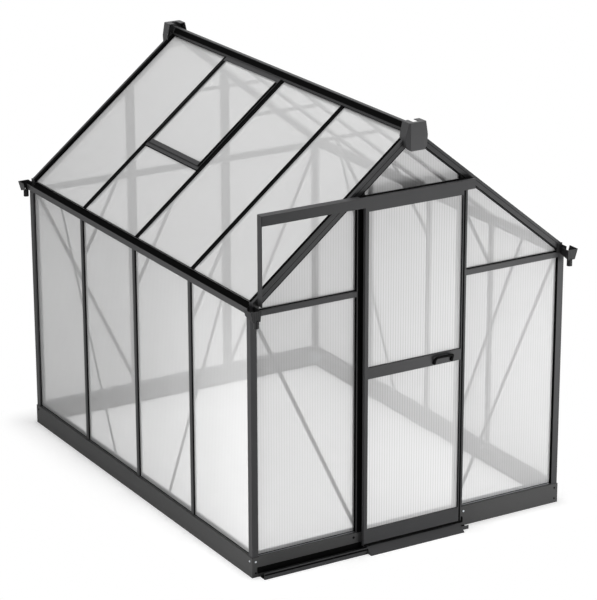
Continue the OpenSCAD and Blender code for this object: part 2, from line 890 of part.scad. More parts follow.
// Casement stay that lies along the sill's inner side
module vent_stay() {
  arm_l = 280;
  arm_w = 14;
  arm_t = 5;
  arm_y = vent_y0 + 10;
  plate_l = 50;
  plate_t = 3;
  color(frame_black) placed() on_slope() {
    box([vent_foot, arm_y, leg_n], [vent_foot + arm_w, arm_y + arm_l, leg_n + arm_t]);
    box([vent_foot, arm_y, leg_n], [vent_foot + plate_t, arm_y + plate_l, pane_n]);
  }
}

// ---- Door gear ----

hanger_t = 3;
hanger_y = door_y + door_t / 2 - 2;
gear_gap = 5;
ledge_y = hanger_y + hanger_t + gear_gap;
wheel_head = 6;
wheel_z = rail_top - rail_t - wheel_head - wheel_d / 2;
track_t = 3;
ledge_z = wheel_z - wheel_d / 2 - wheel_gap;

// Rail over the doorway: a face and a top flange, a back leg on the gable and the
// ledge that the door's wheels run on
module door_rail() {
  back = -hy;
  face = rail_y + rail_t;
  color(frame_black) placed() along_x(rail_x0, rail_x1)
    polygon([[rail_y, rail_top - rail_h], [face, rail_top - rail_h], [face, rail_top - rail_t],
             [back - rail_t, rail_top - rail_t], [back - rail_t, ledge_z],
             [ledge_y, ledge_z], [ledge_y, ledge_z - rail_t],
             [back, ledge_z - rail_t], [back, rail_top], [rail_y, rail_top]]);
}

// Strut that carries the rail's free end on the tongue of the gutter outlet
module rail_strut() {
  t = 4;
  gap = 3;
  foot = gutter_z + outlet_rim + gap;
  color(frame_black) placed()
    box([rail_x0 - t, rail_y + 2, foot], [rail_x0, -hy - outlet_t, rail_top]);
}

// Channel on the ground in front of the base that guides the door's bottom edge
module bottom_track() {
  back = -base_l / 2;
  front = back - track_w;
  x0 = -hx + track_inset;
  x1 = jamb_out + rail_end / 2;
  color(frame_black) placed() along_x(x0, x1)
    polygon([[front, 0], [back, 0], [back, track_t], [front + track_t, track_t],
             [front + track_t, track_h], [front, track_h]]);
}

// Small ramp in front of the track at the doorway
module threshold() {
  back = -base_l / 2 - track_w;
  crest = 4;
  toe = 1.5;
  top = track_h + 2;
  color(frame_black) placed() along_x(-jamb_in, jamb_in + 3)
    polygon([[back, 0], [back, top], [back - crest, top], [back - ramp_w, toe],
             [back - ramp_w, 0]]);
}

// ---- Door ----

// Door leaf: two stiles, three rails and a fin that runs in the bottom track
module door_frame() {
  half = door_w / 2;
  in = half - stile_w;
  y1 = door_y + door_t;
  fin_l = 60;
  fin_t = 4;
  fin_z = track_t + 2 * gear_gap;
  fin_x = half - wheel_inset;
  fin_y = door_y + door_t / 2 - fin_t / 2;
  color(frame_black) placed() {
    difference() {
      box([-half, door_y, door_z], [half, y1, door_top]);
      box([-in, door_y - 1, door_z + kick_h], [in, y1 + 1, mid_z]);
      box([-in, door_y - 1, mid_z + mid_h], [in, y1 + 1, door_top - top_h]);
    }
    for (side = [-1, 1])
      translate([side * fin_x - fin_l / 2, fin_y, fin_z])
        cube([fin_l, fin_t, door_z + 1 - fin_z]);
  }
}

// Upper and lower sheets of the door
module door_panes() {
  in = door_w / 2 - stile_w;
  y0 = door_y + door_t / 2 - sheet_t / 2;
  color(sheet_clear) placed() {
    box([-in, y0, door_z + kick_h], [in, y0 + sheet_t, mid_z]);
    box([-in, y0, mid_z + mid_h], [in, y0 + sheet_t, door_top - top_h]);
  }
}

// Bow handle on the middle rail, near the closing edge
module door_handle() {
  x1 = door_w / 2 - handle_inset;
  x0 = x1 - handle_l;
  z0 = mid_z + (mid_h - handle_w) / 2;
  foot = 14;
  foot_t = 4;
  grip_t = 7;
  y0 = door_y - handle_out;
  in_0 = x0 + foot + foot_t;
  in_1 = x1 - foot - foot_t;
  color(plastic_grey) placed()
    translate([0, 0, z0]) linear_extrude(handle_w)
      polygon([[x0, door_y], [x0, door_y - foot_t], [x0 + foot, y0], [x1 - foot, y0],
               [x1, door_y - foot_t], [x1, door_y], [in_1, door_y], [in_1, y0 + grip_t],
               [in_0, y0 + grip_t], [in_0, door_y]]);
}

// Hangers on top of the door, each with an axle and a wheel on the rail's ledge
module door_rollers() {
  plate_w = 40;
  axle_d = 8;
  color(zinc) placed()
    for (side = [-1, 1])
      translate([side * (door_w / 2 - wheel_inset), 0, 0]) {
        box([-plate_w / 2, hanger_y, door_top],
            [plate_w / 2, hanger_y + hanger_t, wheel_z + axle_d]);
        translate([0, hanger_y + hanger_t, wheel_z]) rotate([-90, 0, 0])
          cylinder(d = axle_d, h = ledge_y - hanger_y, $fn = 32);
        translate([0, ledge_y, wheel_z]) rotate([-90, 0, 0])
          cylinder(d = wheel_d, h = wheel_t, $fn = 48);
      }
}

base_front();
base_back();
base_left();
base_right();
base_brackets();
corner_posts();
left_wall_bars();
right_wall_bars();
wall_sills();
left_gutter();
right_gutter();
gutter_outlets();
front_rafters();
back_rafters();
left_roof_bars();
right_roof_bars();
ridge();
front_ridge_cap();
back_ridge_cap();
collar_ties();
knee_braces();
wall_braces();
gable_braces();
door_jambs();
front_eave_bars();
door_header();
back_posts();
back_eave_bars();
left_wall_panes();
right_wall_panes();
front_panes();
back_panes();
left_roof_panes();
right_roof_panes();
vent_frame();
vent_pane();
vent_sill();
vent_stay();
door_rail();
rail_strut();
bottom_track();
threshold();
door_frame();
door_panes();
door_handle();
door_rollers();
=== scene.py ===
# %% [markdown]
# # A sliding-door greenhouse, dressed for its picture
# The frame of this greenhouse is already built: posts, rafters, bars, sheets and a door on
# a rail, each a piece with its place and size fixed. This lesson adds what a builder would
# add with a screwdriver and a roll of rubber: seals, screws and a handle. It also adds black
# strips that are painted shade, where the frame lies in shadow. It gives every surface its
# real finish, and some tones are painted lighter or darker for the light. All lengths are
# metres, and Z is up.

# %% Load the frame
import math
import bpy
import numpy as np
from mathutils import Matrix, Vector


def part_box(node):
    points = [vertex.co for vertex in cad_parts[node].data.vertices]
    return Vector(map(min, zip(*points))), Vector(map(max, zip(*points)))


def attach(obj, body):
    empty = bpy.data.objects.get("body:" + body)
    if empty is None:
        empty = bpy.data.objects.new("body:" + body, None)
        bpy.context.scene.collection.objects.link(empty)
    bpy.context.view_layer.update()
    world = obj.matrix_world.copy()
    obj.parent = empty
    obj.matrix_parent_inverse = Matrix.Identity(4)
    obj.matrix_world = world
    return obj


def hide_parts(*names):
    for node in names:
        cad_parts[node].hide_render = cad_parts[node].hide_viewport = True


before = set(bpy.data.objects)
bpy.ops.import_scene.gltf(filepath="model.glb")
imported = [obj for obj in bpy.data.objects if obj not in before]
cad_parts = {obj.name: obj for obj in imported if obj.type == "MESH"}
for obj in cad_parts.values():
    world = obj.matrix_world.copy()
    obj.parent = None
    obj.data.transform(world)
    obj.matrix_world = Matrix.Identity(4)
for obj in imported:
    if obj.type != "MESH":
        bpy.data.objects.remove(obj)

scene = bpy.context.scene
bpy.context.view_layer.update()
print("frame pieces:", len(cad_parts))

# %% [markdown]
# ## Where things are
# A seal or a screw has to sit exactly on its post. The frame can be asked for the lowest
# and highest corner of any piece, so most places are worked out from those corners, and a
# few sizes of the frame's sections are written down once. The gable faces -Y, and the
# building's middle lies a few millimetres off the origin in Y.

# %% Read the main sizes
def corners(node):
    """Lowest and highest corner of a frame piece, as two arrays."""
    low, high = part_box(node)
    return np.array(low), np.array(high)


MM = 0.001
posts_low, posts_high = corners("corner_posts")
HALF_X = posts_high[0]
MID_Y = (posts_low[1] + posts_high[1]) / 2
HALF_Y = (posts_high[1] - posts_low[1]) / 2
BASE_TOP = corners("base_front")[1][2]
PLATE_Z = corners("left_wall_bars")[1][2]
APEX_Z = corners("front_rafters")[1][2]
PITCH = math.radians(39)
EAVE_Z = APEX_Z - HALF_X * math.tan(PITCH)
POST = 36 * MM          # side of a corner post
RAFTER_H = 42 * MM      # depth of a rafter, square to the roof
JAMB_W = 42 * MM        # width of a door jamb and of a back gable post
RIDGE_HALF = 24 * MM    # half the width of the ridge rail's brim
SIDE_SET = 13 * MM      # outer face of the side and roof sheets, below the posts' faces
GABLE_SET = 16 * MM     # outer face of the gable sheets, behind the gable's face
CAP_SET = 6 * MM        # outer face of the bars' caps, below the posts' faces
CAP_W = 22 * MM         # width of those caps
BAY = 610 * MM          # from one glazing bar to the next
BAR_Y = MID_Y + BAY * np.array([-1.0, 0.0, 1.0])
JAMB_OUT = corners("door_jambs")[1][0]
JAMB_IN = JAMB_OUT - JAMB_W
print(f"half width {HALF_X:.4f}, half length {HALF_Y:.4f}, apex {APEX_Z:.4f}")

# %% [markdown]
# ## The camera
# The greenhouse is looked at from the front left, a little from above and from far away
# with a long lens, which keeps its upright lines nearly upright. A camera can be turned
# with three angles, but writing its right, up and back directions as the columns of a
# matrix leaves no doubt about what each one does.

# %% Place the camera
def camera_matrix(place, azimuth, elevation, roll):
    """Matrix of a camera at place, with its angles in degrees: forward = (cos e sin a,
    cos e cos a, -sin e), right is level and square to it, and roll turns right and up
    about forward."""
    a, e, r = (math.radians(x) for x in (azimuth, elevation, roll))
    forward = Vector((math.cos(e) * math.sin(a), math.cos(e) * math.cos(a), -math.sin(e)))
    level = Vector((math.cos(a), -math.sin(a), 0))
    upright = level.cross(forward)
    right = math.cos(r) * level + math.sin(r) * upright
    up = math.cos(r) * upright - math.sin(r) * level
    rows = [[right[i], up[i], -forward[i], place[i]] for i in range(3)]
    return Matrix(rows + [[0, 0, 0, 1]])


camera = bpy.data.objects.new("camera", bpy.data.cameras.new("camera"))
scene.collection.objects.link(camera)
camera.matrix_world = camera_matrix(place=(-7.052, MID_Y - 11.973, 5.739), azimuth=30.76,
                                    elevation=19.03, roll=-0.134)
camera.data.sensor_fit = "HORIZONTAL"
camera.data.sensor_width = 36
camera.data.lens = 162
camera.data.clip_end = 200
scene.camera = camera
print("lens", camera.data.lens, "mm")

# %% [markdown]
# ## Colours and nodes
# Paint charts give colours as sRGB codes, but Blender's nodes count light, so one function
# turns a code into linear numbers. A second one adds a node, fills in its inputs and joins
# any that come from another node. Every finish below is written with these two.

# %% Helpers for materials
def linear(code):
    """Linear colour of an sRGB code #rrggbb: c / 12.92 up to 0.04045, and above that
    ((c + 0.055) / 1.055)^2.4."""
    c = np.array([int(code[i:i + 2], 16) for i in (1, 3, 5)]) / 255
    c = np.where(c <= 0.04045, c / 12.92, ((c + 0.055) / 1.055) ** 2.4)
    return (*c.tolist(), 1.0)


def add(tree, kind, inputs=(), **settings):
    """Adds a node of that kind with its settings. inputs is a dict from an input to its
    value or to another node's output."""
    node = tree.nodes.new(kind)
    for key, value in settings.items():
        setattr(node, key, value)
    for key, value in dict(inputs).items():
        if isinstance(value, bpy.types.NodeSocket):
            tree.links.new(value, node.inputs[key])
        else:
            node.inputs[key].default_value = value
    return node


def new_material(name):
    """An empty material: its tree, its output node and Object coordinates."""
    material = bpy.data.materials.new(name)
    material.use_nodes = True
    tree = material.node_tree
    tree.nodes.clear()
    output = add(tree, "ShaderNodeOutputMaterial")
    where = add(tree, "ShaderNodeTexCoord").outputs["Object"]
    return material, tree, output, where


print("white is", linear("#ffffff"))

# %% [markdown]
# ## From a pattern to a finish
# A noise or a wave gives a number from 0 to 1 at each point. One helper turns it into a
# colour between two tones, and the other into a number between two limits, such as the
# roughness where the surface is smoothest and where it is dullest.

# %% Helpers for patterns
def blend_colour(tree, factor, low, high):
    """Colour that goes from low to high as factor goes from 0 to 1."""
    mix = add(tree, "ShaderNodeMix", data_type="RGBA")
    tree.links.new(factor, mix.inputs["Factor"])
    mix.inputs["A"].default_value = low
    mix.inputs["B"].default_value = high
    return mix.outputs["Result"]


def span(tree, value, low, high, start=0.0):
    """Value between start and 1 spread over low to high."""
    spread = add(tree, "ShaderNodeMapRange",
                 {"Value": value, "From Min": start, "To Min": low, "To Max": high})
    return spread.outputs["Result"]


print("the grey #808080 counts as", round(linear("#808080")[0], 3))

# %% [markdown]
# ## Powder-coated aluminium and steel
# Powder coating is a dry paint that is baked on. It melts into a skin with a soft sheen and
# a fine orange-peel texture. Real orange peel has waves of about 1 mm; here they are drawn
# at 3 to 4 mm so that close views show them. Cloudy noise a hand wide varies the colour
# and sheen a little, as on metal that has been handled. The steel base has a thicker,
# duller coat than the aluminium, and its tone is painted a little lighter: painted light
# for the base's low faces, which the lamps light less.

# %% Powder coats
CLOUDS_PER_METRE = 7.0


def powder_coat(name, low, high, roughness, peel_mm, gloss=0.12, vary=0.06):
    """Baked powder paint: colour between two tones, sheen that varies, orange-peel bump."""
    material, tree, output, where = new_material(name)
    cloud = add(tree, "ShaderNodeTexNoise",
                {"Vector": where, "Scale": CLOUDS_PER_METRE, "Detail": 3.0})
    peel = add(tree, "ShaderNodeTexNoise",
               {"Vector": where, "Scale": 1000 / peel_mm, "Detail": 1.0})
    bump = add(tree, "ShaderNodeBump",
               {"Height": peel.outputs["Fac"], "Strength": 0.25, "Distance": 0.3 * MM})
    coat = add(tree, "ShaderNodeBsdfPrincipled", {
        "Base Color": blend_colour(tree, cloud.outputs["Fac"], linear(low), linear(high)),
        "Roughness": span(tree, cloud.outputs["Fac"], roughness - vary, roughness + vary),
        "Normal": bump.outputs["Normal"], "IOR": 1.5, "Specular IOR Level": gloss})
    tree.links.new(coat.outputs[0], output.inputs["Surface"])
    return material


aluminium = powder_coat("powder_coated_aluminium", "#363637", "#3d3d3e", roughness=0.42,
                        peel_mm=3.0)
# The steel's tones are painted a little lighter: painted light for the low base.
steel = powder_coat("powder_coated_steel", "#3d3d3d", "#454545", roughness=0.5, peel_mm=4.0)
print("made", aluminium.name, "and", steel.name)

# %% [markdown]
# ## Rubber, and one recipe for the small parts
# Glazing seals are extruded EPDM rubber, black and dull, with a faint mottle. Rubber,
# moulded plastic and bare metal differ in colour, sheen and grain, but they are made by
# one recipe: a grain that shifts the tone, the roughness and a slight bump. Upright ribs
# are a wave along X + Y, so that they show on faces that look along either axis. Their
# tones are painted shade in the grooves and a painted highlight on the crests.

# %% The recipe and the rubber
def plain_finish(name, low, high, roughness, grain_mm, bump_mm, metallic=0.0, rib_mm=0.0,
                 gloss=0.5, vary=0.08):
    """A finish of one substance: grain noise between two tones, with a roughness to match.
    If rib_mm isn't zero, upright ribs that far apart give the bump and the tones: painted
    shade in the grooves and a painted highlight on the crests."""
    material, tree, output, where = new_material(name)
    grain = add(tree, "ShaderNodeTexNoise",
                {"Vector": where, "Scale": 1000 / grain_mm, "Detail": 2.0})
    height = grain.outputs["Fac"]
    if rib_mm:
        split = add(tree, "ShaderNodeSeparateXYZ", {"Vector": where})
        along = add(tree, "ShaderNodeMath", {0: split.outputs["X"], 1: split.outputs["Y"]},
                    operation="ADD")
        turns = add(tree, "ShaderNodeMath", {0: along.outputs[0], 1: 2000 * math.pi / rib_mm},
                    operation="MULTIPLY")
        rib = add(tree, "ShaderNodeMath", {0: turns.outputs[0]}, operation="SINE")
        height = span(tree, rib.outputs[0], 0.0, 1.0, start=-1.0)
    bump = add(tree, "ShaderNodeBump",
               {"Height": height, "Strength": 0.5, "Distance": bump_mm * MM})
    body = add(tree, "ShaderNodeBsdfPrincipled", {
        "Base Color": blend_colour(tree, height, linear(low), linear(high)),
        "Roughness": span(tree, grain.outputs["Fac"], roughness - vary, roughness + vary),
        "Metallic": metallic, "Normal": bump.outputs["Normal"], "Specular IOR Level": gloss})
    tree.links.new(body.outputs[0], output.inputs["Surface"])
    return material


rubber = plain_finish("epdm_rubber", "#050505", "#0b0b0b", roughness=0.8, grain_mm=6.0,
                      bump_mm=0.1, gloss=0.02)
print("made", rubber.name)

# %% [markdown]
# ## Plastic and bare metal
# The caps, outlets and handle are moulded plastic, and the outlets have upright ribs about
# 10 mm apart. The screws and hangers are steel with a zinc plating, whose crystals make
# small patches that are lighter and darker. The sills inside the walls are bare aluminium,
# as the mill left it: dull and slightly cloudy.

# %% Plastic and bare metal
black_plastic = plain_finish("black_moulded_plastic", "#060606", "#0c0c0c", roughness=0.5,
                             grain_mm=2.5, bump_mm=0.1, gloss=0.04)
plastic = plain_finish("moulded_plastic", "#3d3d3e", "#454546", roughness=0.5, grain_mm=2.5,
                       bump_mm=0.1, gloss=0.25)
# The ribs' tones are painted shade in the grooves and a painted highlight on the crests.
ribbed = plain_finish("ribbed_moulded_plastic", "#0a0a0b", "#1c1c1d", roughness=0.5,
                      grain_mm=2.5, bump_mm=0.8, rib_mm=10, gloss=0.2)
zinc = plain_finish("zinc_plated_steel", "#a8acb0", "#d2d6da", roughness=0.35, grain_mm=8.0,
                    bump_mm=0.05, metallic=1.0)
mill = plain_finish("mill_finish_aluminium", "#77797b", "#8b8d8f", roughness=0.55,
                    grain_mm=12.0, bump_mm=0.05, metallic=1.0)
print("made", [m.name for m in (rubber, black_plastic, plastic, ribbed, zinc, mill)])

# %% [markdown]
# ## Twin-wall polycarbonate
# The sheets are two thin skins joined by a web every few millimetres. Light comes through,
# but it is spread on the way, so things behind look pale and streaky. Glass with a rough
# surface would need many samples, so each skin is a milky surface with an alpha: it shows
# a share of what is behind it, and hides the rest behind its own pale haze. The webs are
# fine stripes of another tone. They are 6 mm apart on the real sheet, and are drawn 15 mm
# apart so that they can be seen from this far. Lamps see the sheets as nearly clear,
# because about four fifths of the light gets through a real one.

# %% The sheet's recipe
def twin_wall(name, axis, haze, contrast, milk, web_tone, spread=0.10, pitch_mm=15.0):
    """Milky sheet whose webs are stripes along one axis, a sharp peak once per pitch. haze
    is the alpha between webs, contrast what a web adds to it, and spread the share of
    light that goes on through the milk."""
    material, tree, output, where = new_material(name)
    split = add(tree, "ShaderNodeSeparateXYZ", {"Vector": where})
    turns = add(tree, "ShaderNodeMath",
                {0: split.outputs[axis], 1: 2000 / pitch_mm}, operation="MULTIPLY")
    web = add(tree, "ShaderNodeMath", {0: turns.outputs[0], 1: 1.0}, operation="PINGPONG")
    peak = add(tree, "ShaderNodeMath", {0: web.outputs[0], 1: 4.0}, operation="POWER")
    cloud = add(tree, "ShaderNodeTexNoise", {"Vector": where, "Scale": 1.6, "Detail": 2.0})
    uneven = span(tree, cloud.outputs["Fac"], -0.04, 0.04)
    alpha = add(tree, "ShaderNodeMath",
                {0: peak.outputs[0], 1: contrast, 2: haze}, operation="MULTIPLY_ADD")
    alpha = add(tree, "ShaderNodeMath", {0: alpha.outputs[0], 1: uneven}, operation="ADD")
    bump = add(tree, "ShaderNodeBump",
               {"Height": peak.outputs[0], "Strength": 0.3, "Distance": 0.4 * MM})
    skin = add(tree, "ShaderNodeBsdfPrincipled", {
        "Base Color": blend_colour(tree, peak.outputs[0], linear(milk), linear(web_tone)),
        "Roughness": 0.6, "IOR": 1.45, "Normal": bump.outputs["Normal"],
        "Transmission Weight": spread, "Alpha": alpha.outputs[0]})
    rays = add(tree, "ShaderNodeLightPath")
    passed = (0.93, 0.93, 0.93, 1.0)        # share of a lamp's light that gets through
    clear = add(tree, "ShaderNodeBsdfTransparent", {"Color": passed})
    mix = add(tree, "ShaderNodeMixShader",
              {0: rays.outputs["Is Shadow Ray"], 1: skin.outputs[0], 2: clear.outputs[0]})
    tree.links.new(mix.outputs[0], output.inputs["Surface"])
    return material


# The side sheet's milk is painted lighter: painted light for the long walls.
side_sheet = twin_wall("twin_wall_polycarbonate_side", "Y", haze=0.46, contrast=0.01,
                       milk="#dfdfdf", web_tone="#d0d0d0")
print("made", side_sheet.name)

# %% [markdown]
# ## Sheets for the roof, the gables and the door
# The webs run up every sheet, so the stripes follow one another along Y in the long walls
# and the roof, and along X in the gables and the door. Light falls on each of them in
# another way, so each has its own haze, and its milk is the sheet's pale tone painted
# lighter or darker: painted light and shade for the light that reaches it. The door shows
# its webs the most, and the roof hardly at all.

# %% The other sheets
# These milks too are painted lighter or darker: painted light and shade for each sheet.
roof_sheet = twin_wall("twin_wall_polycarbonate_roof", "Y", haze=0.50, contrast=0.0,
                       milk="#d1d1d1", web_tone="#cdcdcd")
gable_sheet = twin_wall("twin_wall_polycarbonate_gable", "X", haze=0.42, contrast=0.03,
                        milk="#cbcbcb", web_tone="#b2b2b2")
door_sheet = twin_wall("twin_wall_polycarbonate_door", "X", haze=0.45, contrast=0.16,
                       milk="#dbdbdb", web_tone="#9a9a9a")
print("made", [m.name for m in (roof_sheet, gable_sheet, door_sheet)])

# %% [markdown]
# ## Dress the frame's own pieces
# Each piece keeps its shape, and only its material slots change. A few pieces are listed
# by name. The rest are sheets in the long walls, the steel base or the aluminium frame.

# %% Give every frame piece its finish
FINISH = {"base_brackets": zinc, "door_rollers": zinc, "wall_sills": mill,
          "front_ridge_cap": plastic, "back_ridge_cap": plastic, "gutter_outlets": ribbed,
          "door_handle": black_plastic, "door_panes": door_sheet,
          "front_panes": gable_sheet, "back_panes": gable_sheet, "vent_pane": roof_sheet,
          "left_roof_panes": roof_sheet, "right_roof_panes": roof_sheet}
for name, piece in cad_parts.items():
    if name in FINISH:
        finish = FINISH[name]
    elif name.endswith("_panes"):
        finish = side_sheet
    else:
        finish = steel if name.startswith("base_") else aluminium
    for slot in piece.material_slots:
        slot.material = finish
print("finished", len(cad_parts), "frame pieces")

# %% [markdown]
# ## Making a rubber strip
# Every seal is the same idea: a small rounded section carried along a straight line. Such
# a surface is worked out in one go: all points of the section at the start, and all again
# at the end. Side faces join the two rings, and one flat face closes each end.

# %% Sections and strips
def bead(width, height, points=7):
    """Section of a seal: x = w/2 cos(t), y = h sin(t)^0.6 for t from 0 to half a turn, so
    it is flat below and has soft shoulders."""
    t = np.linspace(0, math.pi, points)
    return np.stack([width / 2 * np.cos(t), height * np.sin(t).clip(0) ** 0.6], axis=1)


def strip(section, start, end, out):
    """Section carried from start to end: P = start or end + x across + y out, where across
    is out turned square to the line. A clockwise section is turned round first, so that the
    faces point outwards. Gives points and faces."""
    start, end, out = (np.asarray(v, float) for v in (start, end, out))
    section = np.asarray(section, float)
    after = np.roll(section, -1, axis=0)
    if (section[:, 0] * after[:, 1] - after[:, 0] * section[:, 1]).sum() < 0:
        section = section[::-1]
    along = (end - start) / np.linalg.norm(end - start)
    out = out - along * (out @ along)
    out = out / np.linalg.norm(out)
    across = np.cross(out, along)
    ring = section[:, :1] * across + section[:, 1:] * out
    n = len(section)
    i = np.arange(n)
    j = (i + 1) % n
    sides = np.stack([i, j, j + n, i + n], axis=1)
    faces = sides.tolist() + [i[::-1].tolist(), (i + n).tolist()]
    return np.concatenate([start + ring, end + ring]), faces


print("a bead's section has", len(bead(10 * MM, 2 * MM)), "points")

# %% [markdown]
# ## One mesh from many strips
# One roll of rubber does a whole wall, so its strips go into one mesh. Each strip's faces
# count its own points from zero, and they are shifted by the number of points before them.

# %% Make a piece
def piece_of(name, parts, finish, body="house", smooth=35):
    """One mesh from a list of (points, faces), with its finish, riding on a body. Edges
    that turn by more than smooth degrees stay sharp."""
    mesh = bpy.data.meshes.new(name)
    starts = np.cumsum([0] + [len(points) for points, _ in parts]).tolist()
    faces = [[k + start for k in face] for start, (_, part) in zip(starts, parts)
             for face in part]
    mesh.from_pydata(np.concatenate([points for points, _ in parts]).tolist(), [], faces)
    mesh.shade_smooth()
    mesh.set_sharp_from_angle(angle=math.radians(smooth))
    mesh.materials.append(finish)
    piece = bpy.data.objects.new(name, mesh)
    scene.collection.objects.link(piece)
    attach(piece, body)
    print(name, len(faces), "faces")
    return piece

# %% [markdown]
# ## Places on the roof
# The left slope is a tilted plane, and the right one is its mirror. A point on it is given
# by how far up the slope it is from the eave, where it is along the ridge, and how far it
# stands off the plane.

# %% The roof's own coordinates
UP_SLOPE = np.array([math.cos(PITCH), 0, math.sin(PITCH)])
OFF_SLOPE = np.array([-math.sin(PITCH), 0, math.cos(PITCH)])


def on_roof(s, y, off, side):
    """Point of a slope: eave + s up the slope + off square to it, mirrored when side is 1."""
    p = np.array([-HALF_X, y, EAVE_Z]) + s * UP_SLOPE + off * OFF_SLOPE
    return p * np.array([-side, 1, 1])


def off_roof(side):
    """Outward direction of a slope."""
    return OFF_SLOPE * np.array([-side, 1, 1])


print(f"slope length {HALF_X / math.cos(PITCH):.3f}")

# %% [markdown]
# ## Covers on the roof bars
# A glazing bar grips the sheets under an aluminium cap. On the roof a rubber cover lies on
# the whole cap and keeps rain out of the screw holes. It is one section carried up the
# slope, from the bar's foot to the ridge rail.

# %% Cover the roof bars
SIDES = (-1, 1)         # left and right, or front and back
BAR_FOOT = 23 * MM      # lower end of the bars and sheets, from the eave up the slope
brim_s = (HALF_X - RIDGE_HALF) / math.cos(PITCH)      # where a slope meets the ridge rail
cover = bead(CAP_W + 1 * MM, 2.0 * MM, 9)
roof_strips = [strip(cover, on_roof(BAR_FOOT, y, -CAP_SET, side),
                     on_roof(brim_s, y, -CAP_SET, side), off_roof(side))
               for side in SIDES for y in BAR_Y]
piece_of("roof_bar_covers", roof_strips, rubber)

# %% [markdown]
# ## Painted shade on the rafters
# A black L lies along the inner half of each rafter's top face and hangs down to the sheets.
# It is painted shade along the rafter's inner edge. The outer face of a real rafter has
# grooves along it. Only their shaded lines can be seen, so each is drawn as a thin black
# bead: painted shade in the groove.

# %% Paint the shade on the rafters
ell = np.array([(19, 0), (19, 1.2), (38.5, 1.2), (38.5, -12.5), (36.3, -12.5), (36.3, 0)]) * MM
rafter_inner_shade = []
for side in SIDES:
    for end in SIDES:
        section = ell * np.array([side * end, 1])    # points inwards from each gable
        gable = MID_Y + end * HALF_Y
        rafter_inner_shade.append(strip(section, on_roof(20 * MM, gable, 0, side),
                                   on_roof(brim_s - 2 * MM, gable, 0, side), off_roof(side)))
piece_of("rafter_inner_shade", rafter_inner_shade, rubber)
grooves = ((4.5 * MM, -40 * MM), (2 * MM, -15 * MM))  # width, and place off the top face
groove_shade_lines = [strip(bead(width, 0.6 * MM, 5),
                      on_roof(26 * MM, MID_Y + end * HALF_Y, off, side),
                      on_roof(brim_s - 30 * MM, MID_Y + end * HALF_Y, off, side), (0, end, 0))
                for side in SIDES for end in SIDES for width, off in grooves]
piece_of("rafter_groove_shade", groove_shade_lines, rubber)

# %% [markdown]
# ## Covers on the wall bars
# On the walls the cover is a flat aluminium strip, a little wider than the cap, that snaps
# over it.

# %% Cover the wall bars
wall_cover = bead(30 * MM, 1.2 * MM, 5)
face_x = HALF_X - CAP_SET
wall_strips = [strip(wall_cover, (side * face_x, y, BASE_TOP + 2 * MM),
                     (side * face_x, y, PLATE_Z), (side, 0, 0))
               for side in SIDES for y in BAR_Y]
piece_of("wall_bar_covers", wall_strips, aluminium)

# %% [markdown]
# ## Seals round the sheets
# A sheet is held in its frame by a rubber angle that runs right round it: one leg lines the
# frame's recess and the other lies on the sheet. It could be made of four strips with
# mitred ends. It is simpler to think of a ring of corners that shrinks: each point of the
# angle's section is the opening's outline moved inwards by some amount and lifted by
# another, and the outlines joined up make the seal with its mitres.

# %% Rings round an opening
def inset(outline, amount):
    """Corners of a counter-clockwise outline after each side moves inwards by amount: the
    corner moves by amount (n1 + n2) / (1 + n1.n2), where n1 and n2 are its sides' normals."""
    side = np.roll(outline, -1, axis=0) - outline
    side = side / np.linalg.norm(side, axis=1, keepdims=True)
    n2 = np.stack([-side[:, 1], side[:, 0]], axis=1)
    n1 = np.roll(n2, 1, axis=0)
    return outline + amount * (n1 + n2) / (1 + (n1 * n2).sum(1, keepdims=True))


def ring(outline, section, place):
    """Seal round an outline: P(i, j) = place(inset(outline, a_j)_i, d_j) for each corner i
    and each section point (a_j, d_j), with a inwards and d off the sheet."""
    outline = np.asarray(outline, float)
    rows = [place(inset(outline, a), d) for a, d in section]
    n, m = len(section), len(outline)
    j, i = np.meshgrid(np.arange(n), np.arange(m), indexing="ij")
    k = (j + 1) % n
    e = (i + 1) % m
    faces = np.stack([j * m + i, j * m + e, k * m + e, k * m + i], axis=-1).reshape(-1, 4)
    return np.concatenate(rows), faces.tolist()


print("a 1 m square moved in by 0.1 m starts at",
      inset(np.array([(0, 0), (1, 0), (1, 1), (0, 1)], float), 0.1)[0])

# %% [markdown]
# ## The angle's section, and faces that point outwards
# A seal for the far gable is placed with the same corners in the same order, but it is
# seen from the other side, so its faces come out pointing inwards. The sign of a closed
# shape's volume tells which way they point.

# %% Section of the angle
def turned_out(points, faces):
    """The same part with its faces turned over if its volume, a sixth of the sum of
    a.(b x c) over its triangles, is negative."""
    f = np.array(faces)
    a, b, c, d = (points[f[:, k]] for k in range(4))
    volume = (a * np.cross(b, c)).sum() + (a * np.cross(c, d)).sum()
    return points, (f if volume > 0 else f[:, ::-1]).tolist()


def angle_section(depth, foot, thick=1.5 * MM, edge=0.2 * MM):
    """Section of a rubber angle: a leg of that depth in the recess, and a foot that grows
    thinner on the sheet. Both stand edge clear of what they lie on."""
    return [(edge, edge), (foot, edge), (foot, thick * 0.6), (foot * 0.55, thick * 1.6),
            (thick * 1.6, thick * 1.8), (thick, depth), (edge, depth)]


def box_outline(a0, b0, a1, b1):
    """Counter-clockwise corners of a rectangle."""
    return [(a0, b0), (a1, b0), (a1, b1), (a0, b1)]


print("the angle's section has", len(angle_section(3 * MM, 3 * MM)), "points")

# %% [markdown]
# ## Openings in the gables
# Each gable sheet has its own opening: low ones beside the doorway, slanted ones under the
# rafters and one over the door. An opening is a list of corners, and the left ones are the
# right ones mirrored. The back gable has one more, where the doorway is at the front.

# %% The openings in the gables
EAVE_BAR = (PLATE_Z - 11 * MM, PLATE_Z + 18 * MM)     # lower and upper edge of the cross bar
HEADER_TOP = corners("door_header")[1][2]
RAFTER_DROP = RAFTER_H / math.cos(PITCH)              # depth of a rafter, straight down


